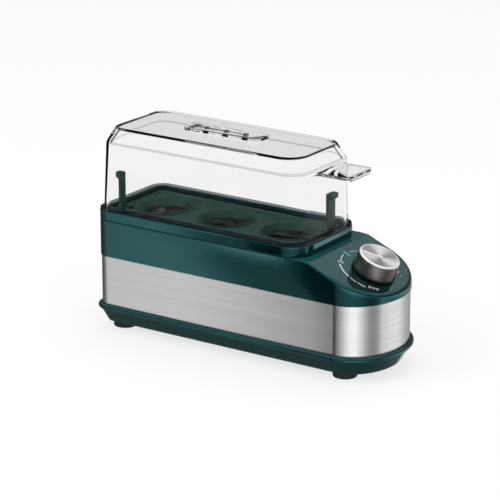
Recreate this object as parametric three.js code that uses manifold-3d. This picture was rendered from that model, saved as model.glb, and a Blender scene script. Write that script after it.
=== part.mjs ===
// Electric egg cooker with three seats in a row. A stainless band runs round a moulded housing whose
// right end falls away as a sloped nose with a control knob. A collar on the housing holds the
// boiling dish, the lift-out egg tray and the clear lid.
// Millimetres, +Z up, +X towards the knob. The origin is on the table, under the middle of the body.

import * as THREE from 'three';
import { mergeVertices } from 'three/addons/utils/BufferGeometryUtils.js';
import Module from 'manifold-3d';

const wasm = await Module();
wasm.setup();

// Clearances
const seatGap = 0.1;            // between faces that rest on each other
const fitGap = 0.3;             // round a pin, stem or tongue in its hole
const cutOver = 1;              // how far a cutting solid runs past the face that it cuts
const turnGap = 0.5;            // round a piece that turns or lifts out

// Plan of the body: the collar's length and the control end, which closes in the nose
const collarLength = 158.8;
const controlLength = 51.7;     // from the collar to the tip of the nose
const bodyLength = collarLength + controlLength;
const bodyWidth = 72;
const bodyCornerRadius = 10;
const noseLength = 28;          // half axis of the elliptical nose along X
const collarFrontRadius = 15.5; // of the collar's two corners towards the knob
const lipReach = 2.2;           // how far the pan's lip stands out past the housing

// Heights, stacked from the table up
const footHeight = 4.1;
const panHeight = 12.9;
const bandHeight = 32.6;
const housingHeight = 24.2;
const collarHeight = 6.7;
const lidFlangeHeight = 1.2;
const lidWallHeight = 43;
const lidCrownHeight = 9.9;

// Sloped control deck
const deckTilt = THREE.MathUtils.degToRad(23);
const creaseFromCollar = 5.9;   // flat strip between the collar and the start of the slope
const knobFromTip = 20.67;      // from the tip of the nose to the knob's axis, at the deck

// Walls
const sheet = 0.6;              // stainless steel band and dish
const housingWall = 2.7;
const panWall = 2.2;
const lidWall = 2;
const trayPlate = 1.6;

// Facets
const cornerSteps = 5;
const noseSteps = 12;
const roundSteps = 28;
const midRoundSteps = 16;
const smallRoundSteps = 10;
const screwSteps = 8;
const edgeSteps = 3;
const lipSteps = 5;
const elementSides = 8;
const wireSides = 6;

// Levels and places that follow from the stack above
const panBottom = footHeight + seatGap;
const panTop = panBottom + panHeight;
const bandBottom = panTop + seatGap;
const bandTop = bandBottom + bandHeight;
const housingBottom = bandTop + seatGap;
const housingTop = housingBottom + housingHeight;
const collarBottom = housingTop + seatGap;
const collarTop = collarBottom + collarHeight;
const lidBottom = collarTop + seatGap;
const lidShoulder = lidBottom + lidFlangeHeight + lidWallHeight;
const lidTop = lidShoulder + lidCrownHeight;
const left = -bodyLength / 2;
const noseX = bodyLength / 2 - noseLength;
const collarRight = left + collarLength;
const collarMid = left + collarLength / 2;
const creaseX = collarRight + creaseFromCollar;
const knobX = -left - knobFromTip;
const knobZ = housingTop - (knobX - creaseX) * Math.tan(deckTilt);

// Materials
function plastic(color, roughness) {
  return new THREE.MeshStandardMaterial({ color, roughness, metalness: 0 });
}

function metal(color, roughness) {
  return new THREE.MeshStandardMaterial({ color, roughness, metalness: 1 });
}

const green = plastic(0x2c5654, 0.3);
const trayGreen = plastic(0x1e3a31, 0.35);
const clear = new THREE.MeshStandardMaterial({
  color: 0xdfe4e4, roughness: 0.05, metalness: 0, transparent: true, opacity: 0.35,
});
const black = plastic(0x17191a, 0.45);
const rubber = plastic(0x1b2b2c, 0.8);
const silicone = plastic(0xb8b8b4, 0.6);
const ceramic = plastic(0xe6e1d6, 0.5);
const white = plastic(0xf4f4f2, 0.4);
const red = plastic(0x9c2a22, 0.5);
const blue = plastic(0x274f8c, 0.5);
const steel = metal(0xc4c5c6, 0.35);
const zinc = metal(0xa9abad, 0.5);
const aluminium = metal(0xd4d4d6, 0.3);

// Solids
// A closed geometry is reduced to shared positions, without the slivers that a point on an axis
// leaves, and with its faces turned outwards whichever way its profile ran.
function tidy(geometry) {
  const bare = geometry.clone();
  bare.deleteAttribute('normal');
  bare.deleteAttribute('uv');
  const merged = mergeVertices(bare);
  const position = merged.getAttribute('position');
  const corners = Array.from(merged.getIndex().array);
  const kept = [];
  let volume = 0;
  const a = new THREE.Vector3();
  const b = new THREE.Vector3();
  const c = new THREE.Vector3();
  for (let i = 0; i < corners.length; i += 3) {
    const [p, q, r] = corners.slice(i, i + 3);
    if (p !== q && q !== r && r !== p) {
      kept.push(p, q, r);
      a.fromBufferAttribute(position, p);
      b.fromBufferAttribute(position, q);
      c.fromBufferAttribute(position, r);
      volume += a.dot(b.cross(c));
    }
  }
  merged.setIndex(volume < 0 ? kept.reverse() : kept);
  return merged;
}

function solid(geometry) {
  const clean = tidy(geometry);
  return new wasm.Manifold(new wasm.Mesh({
    numProp: 3,
    vertProperties: new Float32Array(clean.getAttribute('position').array),
    triVerts: new Uint32Array(clean.getIndex().array),
  }));
}

function geometryOf(manifold) {
  const mesh = manifold.getMesh();
  const geometry = new THREE.BufferGeometry();
  geometry.setAttribute('position', new THREE.BufferAttribute(new Float32Array(mesh.vertProperties), 3));
  geometry.setIndex(Array.from(mesh.triVerts));
  geometry.computeVertexNormals();
  return geometry;
}

function join(first, ...others) {
  return others.reduce((whole, other) => whole.add(other), first);
}

function cut(first, ...others) {
  return others.reduce((whole, other) => whole.subtract(other), first);
}

function addPart(parent, name, shape, material) {
  const geometry = shape.isBufferGeometry ? tidy(shape) : geometryOf(shape);
  const mesh = new THREE.Mesh(geometry, material);
  mesh.name = name;
  parent.add(mesh);
  return mesh;
}

// Profiles and outlines
const fullTurn = 360;           // degrees

// An arc of a profile, from one angle to another in degrees, both ends included.
function arc(centreX, centreY, radiusX, radiusY, from, to, steps) {
  return Array.from({ length: steps + 1 }, (_, i) => {
    const angle = THREE.MathUtils.degToRad(from + (to - from) * i / steps);
    return [centreX + radiusX * Math.cos(angle), centreY + radiusY * Math.sin(angle)];
  });
}

// Half outlines run from the left end to the right end on the near side, y below zero. The far
// side is their mirror image. An inset moves them inwards, a negative one outwards.
const tightestCorner = 2.5;

function leftCorner(inset) {
  const radius = Math.max(bodyCornerRadius - inset, tightestCorner);
  return arc(left + inset + radius, inset - bodyWidth / 2 + radius, radius, radius, 180, 270, cornerSteps);
}

function bodyHalf(inset) {
  const nose = arc(noseX, 0, noseLength - inset, bodyWidth / 2 - inset, -90, 0, noseSteps);
  const side = inset - bodyWidth / 2;
  return [...leftCorner(inset), [collarRight, side], [creaseX, side], ...nose];
}

function collarHalf(inset) {
  const radius = Math.max(collarFrontRadius - inset, tightestCorner);
  const corner = arc(collarRight - inset - radius, inset - bodyWidth / 2 + radius, radius, radius,
    -90, 0, cornerSteps);
  return [...leftCorner(inset), ...corner];
}

// One closed ring of points: a half outline and its mirror image, at a height that may depend on x.
function ring(half, height) {
  const levelAt = typeof height === 'function' ? height : () => height;
  const near = half.map(([x, y]) => new THREE.Vector3(x, y, levelAt(x)));
  const far = near.filter((p) => p.y !== 0).map((p) => new THREE.Vector3(p.x, -p.y, p.z));
  return [...near, ...far.reverse()];
}

// Skins a row of rings. The first ring is closed by a face that looks down and the last by one that
// looks up, each made of strips between mirrored points, or the last ring joins the first again.
function loft(rings, { loop = false } = {}) {
  const count = rings[0].length;
  const positions = rings.flat().flatMap((p) => [p.x, p.y, p.z]);
  const faces = [];
  const rows = loop ? rings.length : rings.length - 1;
  for (let row = 0; row < rows; row += 1) {
    const low = row * count;
    const high = ((row + 1) % rings.length) * count;
    for (let i = 0; i < count; i += 1) {
      const j = (i + 1) % count;
      faces.push(low + i, low + j, high + j, low + i, high + j, high + i);
    }
  }
  if (!loop) {
    const top = (rings.length - 1) * count;
    for (let i = 0; i + 1 < count - 1 - i; i += 1) {
      const far = count - 1 - i;
      faces.push(i, far, i + 1, i + 1, far, far - 1);
      faces.push(top + i, top + i + 1, top + far, top + i + 1, top + far - 1, top + far);
    }
  }
  const geometry = new THREE.BufferGeometry();
  geometry.setAttribute('position', new THREE.Float32BufferAttribute(positions, 3));
  geometry.setIndex(faces);
  return geometry;
}

// A loft whose rings are one outline at the insets and heights of a profile.
function loftProfile(half, profile, options) {
  return loft(profile.map(([inset, height]) => ring(half(inset), height)), options);
}

function prism(half, inset, bottom, top) {
  return solid(loftProfile(half, [[inset, bottom], [inset, top]]));
}

// Turned pieces: a profile of radius and height round the Z axis.
function lathe(profile, steps = smallRoundSteps) {
  const points = profile.map(([radius, height]) => new THREE.Vector2(radius, height));
  return new THREE.LatheGeometry(points, steps).rotateX(Math.PI / 2);
}

function rod(radius, bottom, top, steps = smallRoundSteps) {
  return lathe([[0, bottom], [radius, bottom], [radius, top], [0, top]], steps);
}

function box(width, depth, height, x, y, z) {
  return new THREE.BoxGeometry(width, depth, height).translate(x, y, z);
}

function extrude(shape, bottom, top, curveSegments = edgeSteps) {
  return new THREE.ExtrudeGeometry(shape, { depth: top - bottom, bevelEnabled: false, curveSegments })
    .translate(0, 0, bottom);
}

function roundedRectangle(length, width, radius) {
  const shape = new THREE.Shape();
  const x = length / 2 - radius;
  const y = width / 2 - radius;
  shape.absarc(x, y, radius, 0, Math.PI / 2);
  shape.absarc(-x, y, radius, Math.PI / 2, Math.PI);
  shape.absarc(-x, -y, radius, Math.PI, 1.5 * Math.PI);
  shape.absarc(x, -y, radius, 1.5 * Math.PI, 2 * Math.PI);
  return shape;
}

function tube(curve, radius, steps, sides) {
  const section = new THREE.Shape();
  section.absarc(0, 0, radius, 0, 2 * Math.PI);
  return new THREE.ExtrudeGeometry(section, {
    extrudePath: curve, steps, bevelEnabled: false, curveSegments: sides / 2,
  });
}

// A pan-head screw along +Z: the underside of its head is at zero and the shank points up.
function screw(size, length) {
  const edge = size.headHeight / 3;
  return lathe([
    [0, -size.headHeight],
    [size.headRadius - edge, -size.headHeight],
    [size.headRadius, edge - size.headHeight],
    [size.headRadius, 0],
    [size.radius, 0],
    [size.radius, length - size.radius],
    [0, length],
  ], screwSteps);
}

const cooker = new THREE.Group();

// Rubber feet: four low buttons, each with a stem pressed into the floor of the pan.
const footRadius = 7.8;
const footEdge = 1.2;
const footStemRadius = 2.6;
const footBarb = 0.9;
const footBarbHeight = 2.4;
const leftFootInset = 13.8;     // from the left end of the body to the foot's centre
const rightFootInset = 26.8;    // from the tip of the nose to the foot's centre
const footFromSide = 14;        // from the side of the body to the foot's centre
const footY = bodyWidth / 2 - footFromSide;
const footSpots = [
  ['front_left', left + leftFootInset, -footY],
  ['front_right', -left - rightFootInset, -footY],
  ['rear_left', left + leftFootInset, footY],
  ['rear_right', -left - rightFootInset, footY],
];

function foot() {
  const floorTop = panBottom + panWall;
  return lathe([
    [0, 0],
    ...arc(footRadius - footEdge, footEdge, footEdge, footEdge, -90, 0, 2),
    [footRadius, footHeight],
    [footStemRadius, footHeight],
    [footStemRadius, floorTop + seatGap],
    [footStemRadius + footBarb, floorTop + seatGap],
    [footStemRadius, floorTop + footBarbHeight],
    [0, floorTop + footBarbHeight],
  ], midRoundSteps);
}

for (const [place, x, y] of footSpots) {
  addPart(cooker, `foot_${place}`, foot(), rubber).position.set(x, y, 0);
}

// Screws of the base: they stand in wells of the pan and bite into posts of the housing.
const baseScrew = { radius: 1.5, headRadius: 2.8, headHeight: 2.1 };
const baseScrewLength = 14;
const wellFloor = 2;            // plastic under the screw head's seat
const wellDepth = 3.8;          // from the underside of the pan up to that seat
const wellWall = 1.8;
const leftWellInset = 30;
const rightWellInset = 45;
const wellFromSide = 10.5;
const wellX = [left + leftWellInset, -left - rightWellInset];
const wellY = [wellFromSide - bodyWidth / 2, bodyWidth / 2 - wellFromSide];
const wellRadius = baseScrew.headRadius + fitGap;
const screwSeat = panBottom + wellDepth;
const postBottom = screwSeat + wellFloor + seatGap;

function atWells(make) {
  return wellX.flatMap((x) => wellY.map((y) => make(x, y)));
}

// Base pan: a shallow moulded tray with a rounded lip, a rib that stands inside the housing, wells
// for the screws, cooling slots and a peg for the terminal block.
const panEdgeRadius = 1.6;
const panFootInset = 4.8;       // of its flat underside, from the housing's outline
const panNeckReach = 0.4;       // how far its side wall stands out under the lip
const panCornerReach = 1;       // how far the wall's lower corner is drawn in
const lipHeight = 3.8;
const panRibHeight = 5.5;
const panRibWall = 1.8;
const panRibInset = housingWall + fitGap;
const slotLength = 26;
const slotWidth = 2.4;
const slotPitch = 6.5;
const slotCount = 5;
const slotFromMiddle = 18;
const slotEndSteps = 2;
const blockX = 30;
const pegRadius = 3.4;
const pegHeight = 3;
const blockScrew = { radius: 1.2, headRadius: 2.3, headHeight: 1.6 };

function basePan() {
  const floorTop = panBottom + panWall;
  const lipMiddle = panTop - lipHeight / 2;
  const lipRoot = -panNeckReach;
  const ribInner = panRibInset + panRibWall;
  const floorEdge = panFootInset + panWall;
  const shell = solid(loftProfile(bodyHalf, [
    [panFootInset, panBottom],
    [panFootInset - panCornerReach, panBottom + panEdgeRadius],
    ...arc(lipRoot, lipMiddle, -lipReach - lipRoot, lipHeight / 2, -90, 90, lipSteps),
    [panRibInset, panTop],
    [panRibInset, panTop + panRibHeight],
    [ribInner, panTop + panRibHeight],
    [ribInner, panTop - lipHeight],
    [floorEdge, floorTop + panEdgeRadius],
    [floorEdge + panEdgeRadius, floorTop],
  ]));
  const wells = atWells((x, y) => solid(
    rod(wellRadius + wellWall, floorTop - panWall / 2, screwSeat + wellFloor).translate(x, y, 0)));
  const peg = solid(rod(pegRadius, floorTop - panWall / 2, floorTop + pegHeight).translate(blockX, 0, 0));
  const wellCuts = atWells((x, y) => solid(lathe([
    [0, panBottom - cutOver],
    [wellRadius, panBottom - cutOver],
    [wellRadius, screwSeat],
    [baseScrew.radius + fitGap, screwSeat],
    [baseScrew.radius + fitGap, screwSeat + wellFloor + cutOver],
    [0, screwSeat + wellFloor + cutOver],
  ]).translate(x, y, 0)));
  const footHoles = footSpots.map(([, x, y]) => solid(
    rod(footStemRadius + seatGap, panBottom - cutOver, floorTop + cutOver, midRoundSteps)
      .translate(x, y, 0)));
  const slots = Array.from({ length: slotCount }, (_, i) => solid(
    extrude(roundedRectangle(slotWidth, slotLength, slotWidth / 2 - seatGap), panBottom - cutOver,
      floorTop + cutOver, slotEndSteps).translate(-slotFromMiddle - slotPitch * i, 0, 0)));
  const pegHole = solid(rod(blockScrew.radius + seatGap, floorTop, floorTop + pegHeight + cutOver)
    .translate(blockX, 0, 0));
  return cut(join(shell, ...wells, peg), ...wellCuts, ...footHoles, ...slots, pegHole);
}

addPart(cooker, 'base_pan', basePan(), green);
atWells((x, y) => [x, y]).forEach(([x, y], i) => {
  addPart(cooker, `base_screw_${i + 1}`, screw(baseScrew, baseScrewLength), zinc)
    .position.set(x, y, screwSeat - seatGap);
});

// Cord gland: a rubber bush through the rear wall, near the left end.
const glandFromEnd = 18.25;     // from the left end of the body
const glandRise = 15.8;         // above the band's lower edge
const glandNeck = 5.4;          // radius of the hole that it fills
const glandBore = 3.6;
const glandFlange = 7.2;
const glandFlangeWall = 1.5;
const glandNose = 0.9;          // how far the sleeve stands out past its flange
const glandX = left + glandFromEnd;
const glandZ = bandBottom + glandRise;

// Steel band: one strip of sheet bent round the housing. Its butt seam is at the back, behind the
// middle of the collar.
const bandInset = 0.54;
const seamWidth = 0.4;

function steelBand() {
  const inner = bandInset + sheet;
  const strip = solid(loftProfile(bodyHalf, [
    [bandInset, bandBottom],
    [bandInset, bandTop],
    [inner, bandTop],
    [inner, bandBottom],
  ], { loop: true }));
  const wallDepth = bandInset + sheet + cutOver;
  const seam = solid(box(seamWidth, 2 * wallDepth, bandHeight + 2 * cutOver,
    collarMid, bodyWidth / 2, bandBottom + bandHeight / 2));
  return cut(strip, seam, glandHole());
}

function glandHole() {
  return solid(rod(glandNeck, -bodyWidth / 4, bodyWidth / 4, midRoundSteps).rotateX(Math.PI / 2)
    .translate(glandX, bodyWidth / 2, glandZ));
}

addPart(cooker, 'steel_band', steelBand(), steel);

function cordGland() {
  const neck = glandNeck - fitGap;
  const outside = -bandInset + seatGap;
  const inside = -housingWall - seatGap;
  return lathe([
    [glandBore, outside + glandFlangeWall + glandNose],
    [neck, outside + glandFlangeWall + glandNose],
    [neck + seatGap, outside + glandFlangeWall],
    [glandFlange, outside + glandFlangeWall],
    [glandFlange, outside],
    [neck, outside],
    [neck, inside],
    [glandFlange - glandFlangeWall / 2, inside],
    [neck, inside - 2 * glandFlangeWall],
    [glandBore, inside - 2 * glandFlangeWall],
    [glandBore, outside + glandFlangeWall + glandNose],
  ], midRoundSteps).rotateX(-Math.PI / 2);
}

addPart(cooker, 'cord_gland', cordGland(), black).position.set(glandX, bodyWidth / 2, glandZ);

// Upper housing: the green shell. Its skirt runs down inside the band to the pan, its flat top
// carries the collar and the dish, and its deck slopes down over the nose with a rounded edge.
const skirtInset = bandInset + sheet + seatGap;
const deckEdgeRadius = 2;
const seamChamfer = 0.4;
const roof = 2.4;
const dishOpeningInset = 10.1;  // from the collar's outline
const postRadius = 3.6;
const postFromBandTop = 4.8;
const postRibWall = 2;
const postRibBottom = panTop + panRibHeight + 2 * seatGap;
const postTop = bandTop - postFromBandTop;
const shaftRadius = 3;
const deckScrew = { radius: 1.4, headRadius: 2.6, headHeight: 1.6 };
const deckScrewSpacing = 16;

function deckTop(x) {
  return housingTop - Math.max(x - creaseX, 0) * Math.tan(deckTilt);
}

// The top edge is nearly sharp beside the collar and opens into the full radius over the nose.
function edgeRadiusAt(x) {
  const along = THREE.MathUtils.clamp((x - collarRight) / creaseFromCollar, 0, 1);
  return THREE.MathUtils.lerp(seamChamfer, deckEdgeRadius, along);
}

function edgeRing(angle) {
  const outer = bodyHalf(0);
  const inner = bodyHalf(deckEdgeRadius);
  const turn = THREE.MathUtils.degToRad(angle);
  const half = outer.map(([x, y], i) => {
    const share = (1 - Math.cos(turn)) * edgeRadiusAt(x) / deckEdgeRadius;
    return [
      THREE.MathUtils.lerp(x, inner[i][0], share),
      THREE.MathUtils.lerp(y, inner[i][1], share),
    ];
  });
  const points = ring(half, 0);
  points.forEach((p) => {
    p.z = deckTop(p.x) - edgeRadiusAt(p.x) * (1 - Math.sin(turn));
  });
  return points;
}

// What lies on the deck is placed in a frame whose Z axis is the knob's axis and whose origin is
// where that axis leaves the deck.
function onDeck(object) {
  object.position.set(knobX, 0, knobZ);
  object.rotation.y = deckTilt;
  object.updateMatrixWorld();
  return object;
}

function deckCut(geometry) {
  return solid(geometry.applyMatrix4(onDeck(new THREE.Object3D()).matrixWorld));
}

function upperHousing() {
  const outer = solid(loft([
    ring(bodyHalf(skirtInset), bandBottom),
    ring(bodyHalf(skirtInset), housingBottom),
    ring(bodyHalf(0), housingBottom),
    ...[0, 30, 60, 90].map(edgeRing),
  ]));
  const cavity = solid(loft([
    ring(bodyHalf(housingWall), bandBottom - cutOver),
    ring(bodyHalf(housingWall), (x) => deckTop(x) - roof),
  ]));
  const opening = prism(collarHalf, dishOpeningInset, housingTop - 2 * roof, housingTop + cutOver);
  const posts = atWells((x, y) => {
    const wallY = Math.sign(y) * (bodyWidth / 2 - housingWall);
    const reach = Math.abs(wallY - y) + housingWall / 2;
    const post = solid(rod(postRadius, postBottom, postTop).translate(x, y, 0));
    const rib = solid(box(postRibWall, reach, postTop - postRibBottom,
      x, y + Math.sign(y) * reach / 2, (postTop + postRibBottom) / 2));
    return post.add(rib);
  });
  const pilots = atWells((x, y) => solid(
    rod(baseScrew.radius + seatGap, postBottom - cutOver, screwSeat + baseScrewLength + cutOver)
      .translate(x, y, 0)));
  const collarPilots = collarScrewSpots.map(([x, y]) => solid(
    rod(collarScrew.radius + fitGap, housingTop - 2 * roof, housingTop + cutOver)
      .translate(x, y, 0)));
  const shaftHole = deckCut(rod(shaftRadius + turnGap, -2 * roof, cutOver, midRoundSteps));
  const screwHoles = [-1, 1].map((side) => deckCut(
    rod(deckScrew.radius + fitGap, -2 * roof, cutOver).translate(0, side * deckScrewSpacing / 2, 0)));
  return cut(join(cut(outer, cavity), ...posts), opening, ...pilots, ...collarPilots, shaftHole,
    ...screwHoles, glandHole());
}

// Collar: the ring that stands on the housing. A groove marks its seam, an upstand centres the lid
// and an inner lip clamps the flange of the dish.
const upstandHeight = 1.5;
const upstandInset = 5.1;
const upstandWall = 1.5;
const collarEdge = 0.7;
const channelInset = 1.9;
const webInset = 3.2;
const collarRoof = 1.9;
const lipWidth = 2.8;
const gasketHeight = 0.6;
const clampLip = 1;
const collarInner = upstandInset + upstandWall;
const gasketBottom = housingTop + seatGap;
const flangeBottom = gasketBottom + gasketHeight + seatGap;
const clampBottom = flangeBottom + sheet + seatGap;
const clampTop = clampBottom + clampLip;

const collarScrew = { radius: 1, headRadius: 1.9, headHeight: 1.4 };
const collarScrewLength = 6.4;
const collarScrewInset = 4.9;
const collarScrewFromEnd = 34.4;
const collarScrewSpots = [-1, 1].flatMap((end) => [-1, 1].map((side) => [
  collarMid + end * (collarLength / 2 - collarScrewFromEnd),
  side * (bodyWidth / 2 - collarScrewInset),
]));

function heaterCollar() {
  const body = solid(loftProfile(collarHalf, [
    [seamChamfer, collarBottom],
    [0, collarBottom + seamChamfer],
    ...arc(collarEdge, collarTop - collarEdge, -collarEdge, collarEdge, 0, 90, 3),
    [upstandInset, collarTop],
    [upstandInset, collarTop + upstandHeight],
    [collarInner, collarTop + upstandHeight],
    [collarInner, clampTop],
    [collarInner + lipWidth, clampTop],
    [collarInner + lipWidth, clampBottom],
    [collarInner, clampBottom],
    [collarInner, collarBottom],
    [webInset, collarBottom],
    [webInset, collarTop - collarRoof],
    [channelInset, collarTop - collarRoof],
    [channelInset, collarBottom],
  ], { loop: true }));
  const pilots = collarScrewSpots.map(([x, y]) => solid(
    rod(collarScrew.radius + seatGap, collarBottom - cutOver, housingTop - roof + collarScrewLength + seatGap)
      .translate(x, y, 0)));
  return cut(body, ...pilots);
}

addPart(cooker, 'upper_housing', upperHousing(), green);
addPart(cooker, 'heater_collar', heaterCollar(), green);
collarScrewSpots.forEach(([x, y], i) => {
  addPart(cooker, `collar_screw_${i + 1}`, screw(collarScrew, collarScrewLength), zinc)
    .position.set(x, y, housingTop - roof - seatGap);
});

// Boiling dish: pressed sheet, clamped by its flange between the gasket and the collar's lip.
const flangeInset = collarInner + fitGap;
const dishMouthInset = 10.5;
const dishFloorInset = 13;
const dishDepth = 10;
const dishFloor = flangeBottom - dishDepth;

function boilingDish() {
  return solid(loftProfile(collarHalf, [
    [dishFloorInset, dishFloor],
    [dishMouthInset, flangeBottom - dishMouthInset / dishFloorInset],
    [dishMouthInset, flangeBottom],
    [flangeInset, flangeBottom],
    [flangeInset, flangeBottom + sheet],
    [dishMouthInset + sheet / 2, flangeBottom + sheet],
    [dishMouthInset + sheet, flangeBottom - sheet],
    [dishFloorInset + sheet, dishFloor + sheet],
  ]));
}

function dishGasket() {
  return loftProfile(collarHalf, [
    [flangeInset, gasketBottom],
    [flangeInset, gasketBottom + gasketHeight],
    [dishOpeningInset, gasketBottom + gasketHeight],
    [dishOpeningInset, gasketBottom],
  ], { loop: true });
}

addPart(cooker, 'boiling_dish', boilingDish(), steel);
addPart(cooker, 'dish_gasket', dishGasket(), silicone);

// Heater: an aluminium plate under the dish with a U of sheathed element held by two straps.
const plateFromEnd = 21.4;      // from the end of the collar
const plateThickness = 3;
const elementRadius = 3.2;
const elementFromSide = 8;      // from the plate's edge to the middle of a leg
const elementClearance = 0.8;   // between a leg and the thermostat
const elementBendInset = 5.85;  // from the plate's left end to where the bend begins
const elementEndInset = 4.15;   // from the plate's right end to the element's ends
const elementSteps = 24;
const pinRadius = 1.2;
const pinLength = 9;
const plateTop = dishFloor - seatGap;
const plateBottom = plateTop - plateThickness;
const elementZ = plateBottom - seatGap - elementRadius;
const leftStrapShare = 0.151;   // of the length of a leg, from the bend
const rightStrapShare = 0.453;
const thermostatShare = 0.679;
const fuseShare = 0.915;
const thermostatRadius = 7;
const strapWidth = 8;
const strapThickness = 1.2;
const strapScrew = { radius: 1.5, headRadius: 2.7, headHeight: 1.8 };
const strapScrewBite = 2.2;     // depth of its thread in the plate
const rivetRadius = 1.2;
const plateLength = collarLength - 2 * plateFromEnd;
const elementSpacing = 2 * (thermostatRadius + elementClearance + elementRadius);
const plateWidth = elementSpacing + 2 * elementFromSide;
const elementLeft = collarMid - plateLength / 2 + elementBendInset;
const elementRight = collarMid + plateLength / 2 - elementEndInset;
const strapX = [alongElement(leftStrapShare), alongElement(rightStrapShare)];
const fuseX = alongElement(fuseShare);
const strapTop = elementZ - elementRadius - seatGap;
const strapBottom = strapTop - strapThickness;

function alongElement(share) {
  return THREE.MathUtils.lerp(elementLeft, elementRight, share);
}

function heaterPlate() {
  const plate = solid(extrude(roundedRectangle(plateLength, plateWidth, plateWidth / 2 - seatGap),
    plateBottom, plateTop).translate(collarMid, 0, 0));
  const holes = [...strapX.map((x) => [x, strapScrew.radius]), [fuseX, rivetRadius]];
  return cut(plate, ...holes.map(([x, radius]) => solid(
    rod(radius + seatGap, plateBottom - cutOver, plateBottom + strapScrewBite + seatGap)
      .translate(x, 0, 0))));
}

// A leg, a half turn and the other leg, run at an even pace.
class ElementPath extends THREE.Curve {
  getPoint(t, target = new THREE.Vector3()) {
    const leg = elementRight - elementLeft;
    const radius = elementSpacing / 2;
    const bend = Math.PI * radius;
    const along = t * (2 * leg + bend);
    if (along < leg) {
      return target.set(elementRight - along, -radius, elementZ);
    }
    if (along > leg + bend) {
      return target.set(elementLeft + along - leg - bend, radius, elementZ);
    }
    const angle = (along - leg) / radius;
    return target.set(elementLeft - radius * Math.sin(angle), -radius * Math.cos(angle), elementZ);
  }
}

function elementStrap() {
  const length = elementSpacing + 4 * elementRadius;
  const outline = roundedRectangle(strapWidth, length, elementRadius / 2);
  const strap = solid(extrude(outline, strapBottom, strapTop));
  return cut(strap, solid(rod(strapScrew.radius + fitGap, strapBottom - cutOver, strapTop + cutOver)));
}

addPart(cooker, 'heater_plate', heaterPlate(), aluminium);
addPart(cooker, 'heating_element', tube(new ElementPath(), elementRadius, elementSteps, elementSides), zinc);
[['near', -1], ['far', 1]].forEach(([place, side]) => {
  addPart(cooker, `element_pin_${place}`, rod(pinRadius, 0, pinLength, 8).rotateY(Math.PI / 2), steel)
    .position.set(elementRight + seatGap, side * elementSpacing / 2, elementZ);
});
[['left', strapX[0]], ['right', strapX[1]]].forEach(([place, x]) => {
  addPart(cooker, `element_strap_${place}`, elementStrap(), zinc).position.set(x, 0, 0);
  const reach = plateBottom + strapScrewBite - strapBottom;
  addPart(cooker, `strap_screw_${place}`, screw(strapScrew, reach), zinc)
    .position.set(x, 0, strapBottom - seatGap);
});

// Safety thermostat: a bimetal disc switch against the plate, between the legs of the element.
const thermostatX = alongElement(thermostatShare);
const thermostatHeight = 8.5;
const thermostatCap = 2;
const tabSpacing = 8;
const tabLength = 5.5;
const tabWidth = 4;
const tabThickness = 0.8;
const thermostatTop = plateBottom - seatGap;
const thermostatBottom = thermostatTop - thermostatHeight;

function thermostat() {
  const body = solid(lathe([
    [0, thermostatBottom],
    [thermostatRadius - thermostatCap / 2, thermostatBottom],
    [thermostatRadius - thermostatCap / 2, thermostatTop - thermostatCap],
    [thermostatRadius, thermostatTop - thermostatCap],
    [thermostatRadius, thermostatTop],
    [0, thermostatTop],
  ], midRoundSteps));
  const tabs = [-1, 1].map((side) => solid(
    box(tabThickness, tabWidth, 2 * tabLength, side * tabSpacing / 2, 0, thermostatBottom)));
  return join(body, ...tabs);
}

addPart(cooker, 'thermostat', thermostat(), ceramic).position.set(thermostatX, 0, 0);

// Thermal fuse: a sleeved capsule in a clip that is riveted to the plate.
const fuseRadius = 2.2;
const fuseLength = 12;
const fuseClipWall = 0.6;
const fuseClipWidth = 6;
const fuseClipMouth = 50;       // half angle of its open side in degrees
const fuseClipRadius = fuseRadius + seatGap + fuseClipWall;
const fuseZ = plateBottom - seatGap - fuseClipRadius;

function thermalFuse() {
  const end = fuseRadius / 2;
  return lathe([
    [0, -fuseLength / 2],
    [end, -fuseLength / 2],
    [fuseRadius, end - fuseLength / 2],
    [fuseRadius, fuseLength / 2 - end],
    [end, fuseLength / 2],
    [0, fuseLength / 2],
  ]).rotateY(Math.PI / 2);
}

// The section of a clip: a ring that is open towards +X, by a half angle in degrees.
function openRing(innerRadius, outerRadius, mouth) {
  const far = fullTurn - mouth;
  const outer = arc(0, 0, outerRadius, outerRadius, mouth, far, smallRoundSteps);
  const inner = arc(0, 0, innerRadius, innerRadius, far, mouth, smallRoundSteps);
  return new THREE.Shape([...outer, ...inner].map(([x, y]) => new THREE.Vector2(x, y)));
}

function fuseClip() {
  const section = openRing(fuseRadius + seatGap, fuseClipRadius, fuseClipMouth);
  const clip = solid(extrude(section, -fuseClipWidth / 2, fuseClipWidth / 2)
    .rotateZ(-Math.PI / 2).rotateX(Math.PI / 2).rotateZ(Math.PI / 2));
  return clip.add(solid(rod(rivetRadius, fuseRadius + fuseClipWall / 2, fuseClipRadius + strapScrewBite)));
}

addPart(cooker, 'thermal_fuse', thermalFuse(), white).position.set(fuseX, 0, fuseZ);
addPart(cooker, 'fuse_clip', fuseClip(), steel).position.set(fuseX, 0, fuseZ);

// Terminal block: two brass-cored poles on the peg of the pan.
const blockLength = 26;
const blockWidth = 15;
const blockHeight = 9;
const poleSpacing = 8;
const poleBore = 1.6;
const poleDepth = 7;
const blockBottom = panBottom + panWall + pegHeight + seatGap;
const blockTop = blockBottom + blockHeight;
const poleZ = blockBottom + blockHeight / 2;
const blockScrewReach = blockHeight / 2 + pegHeight - seatGap;

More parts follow.
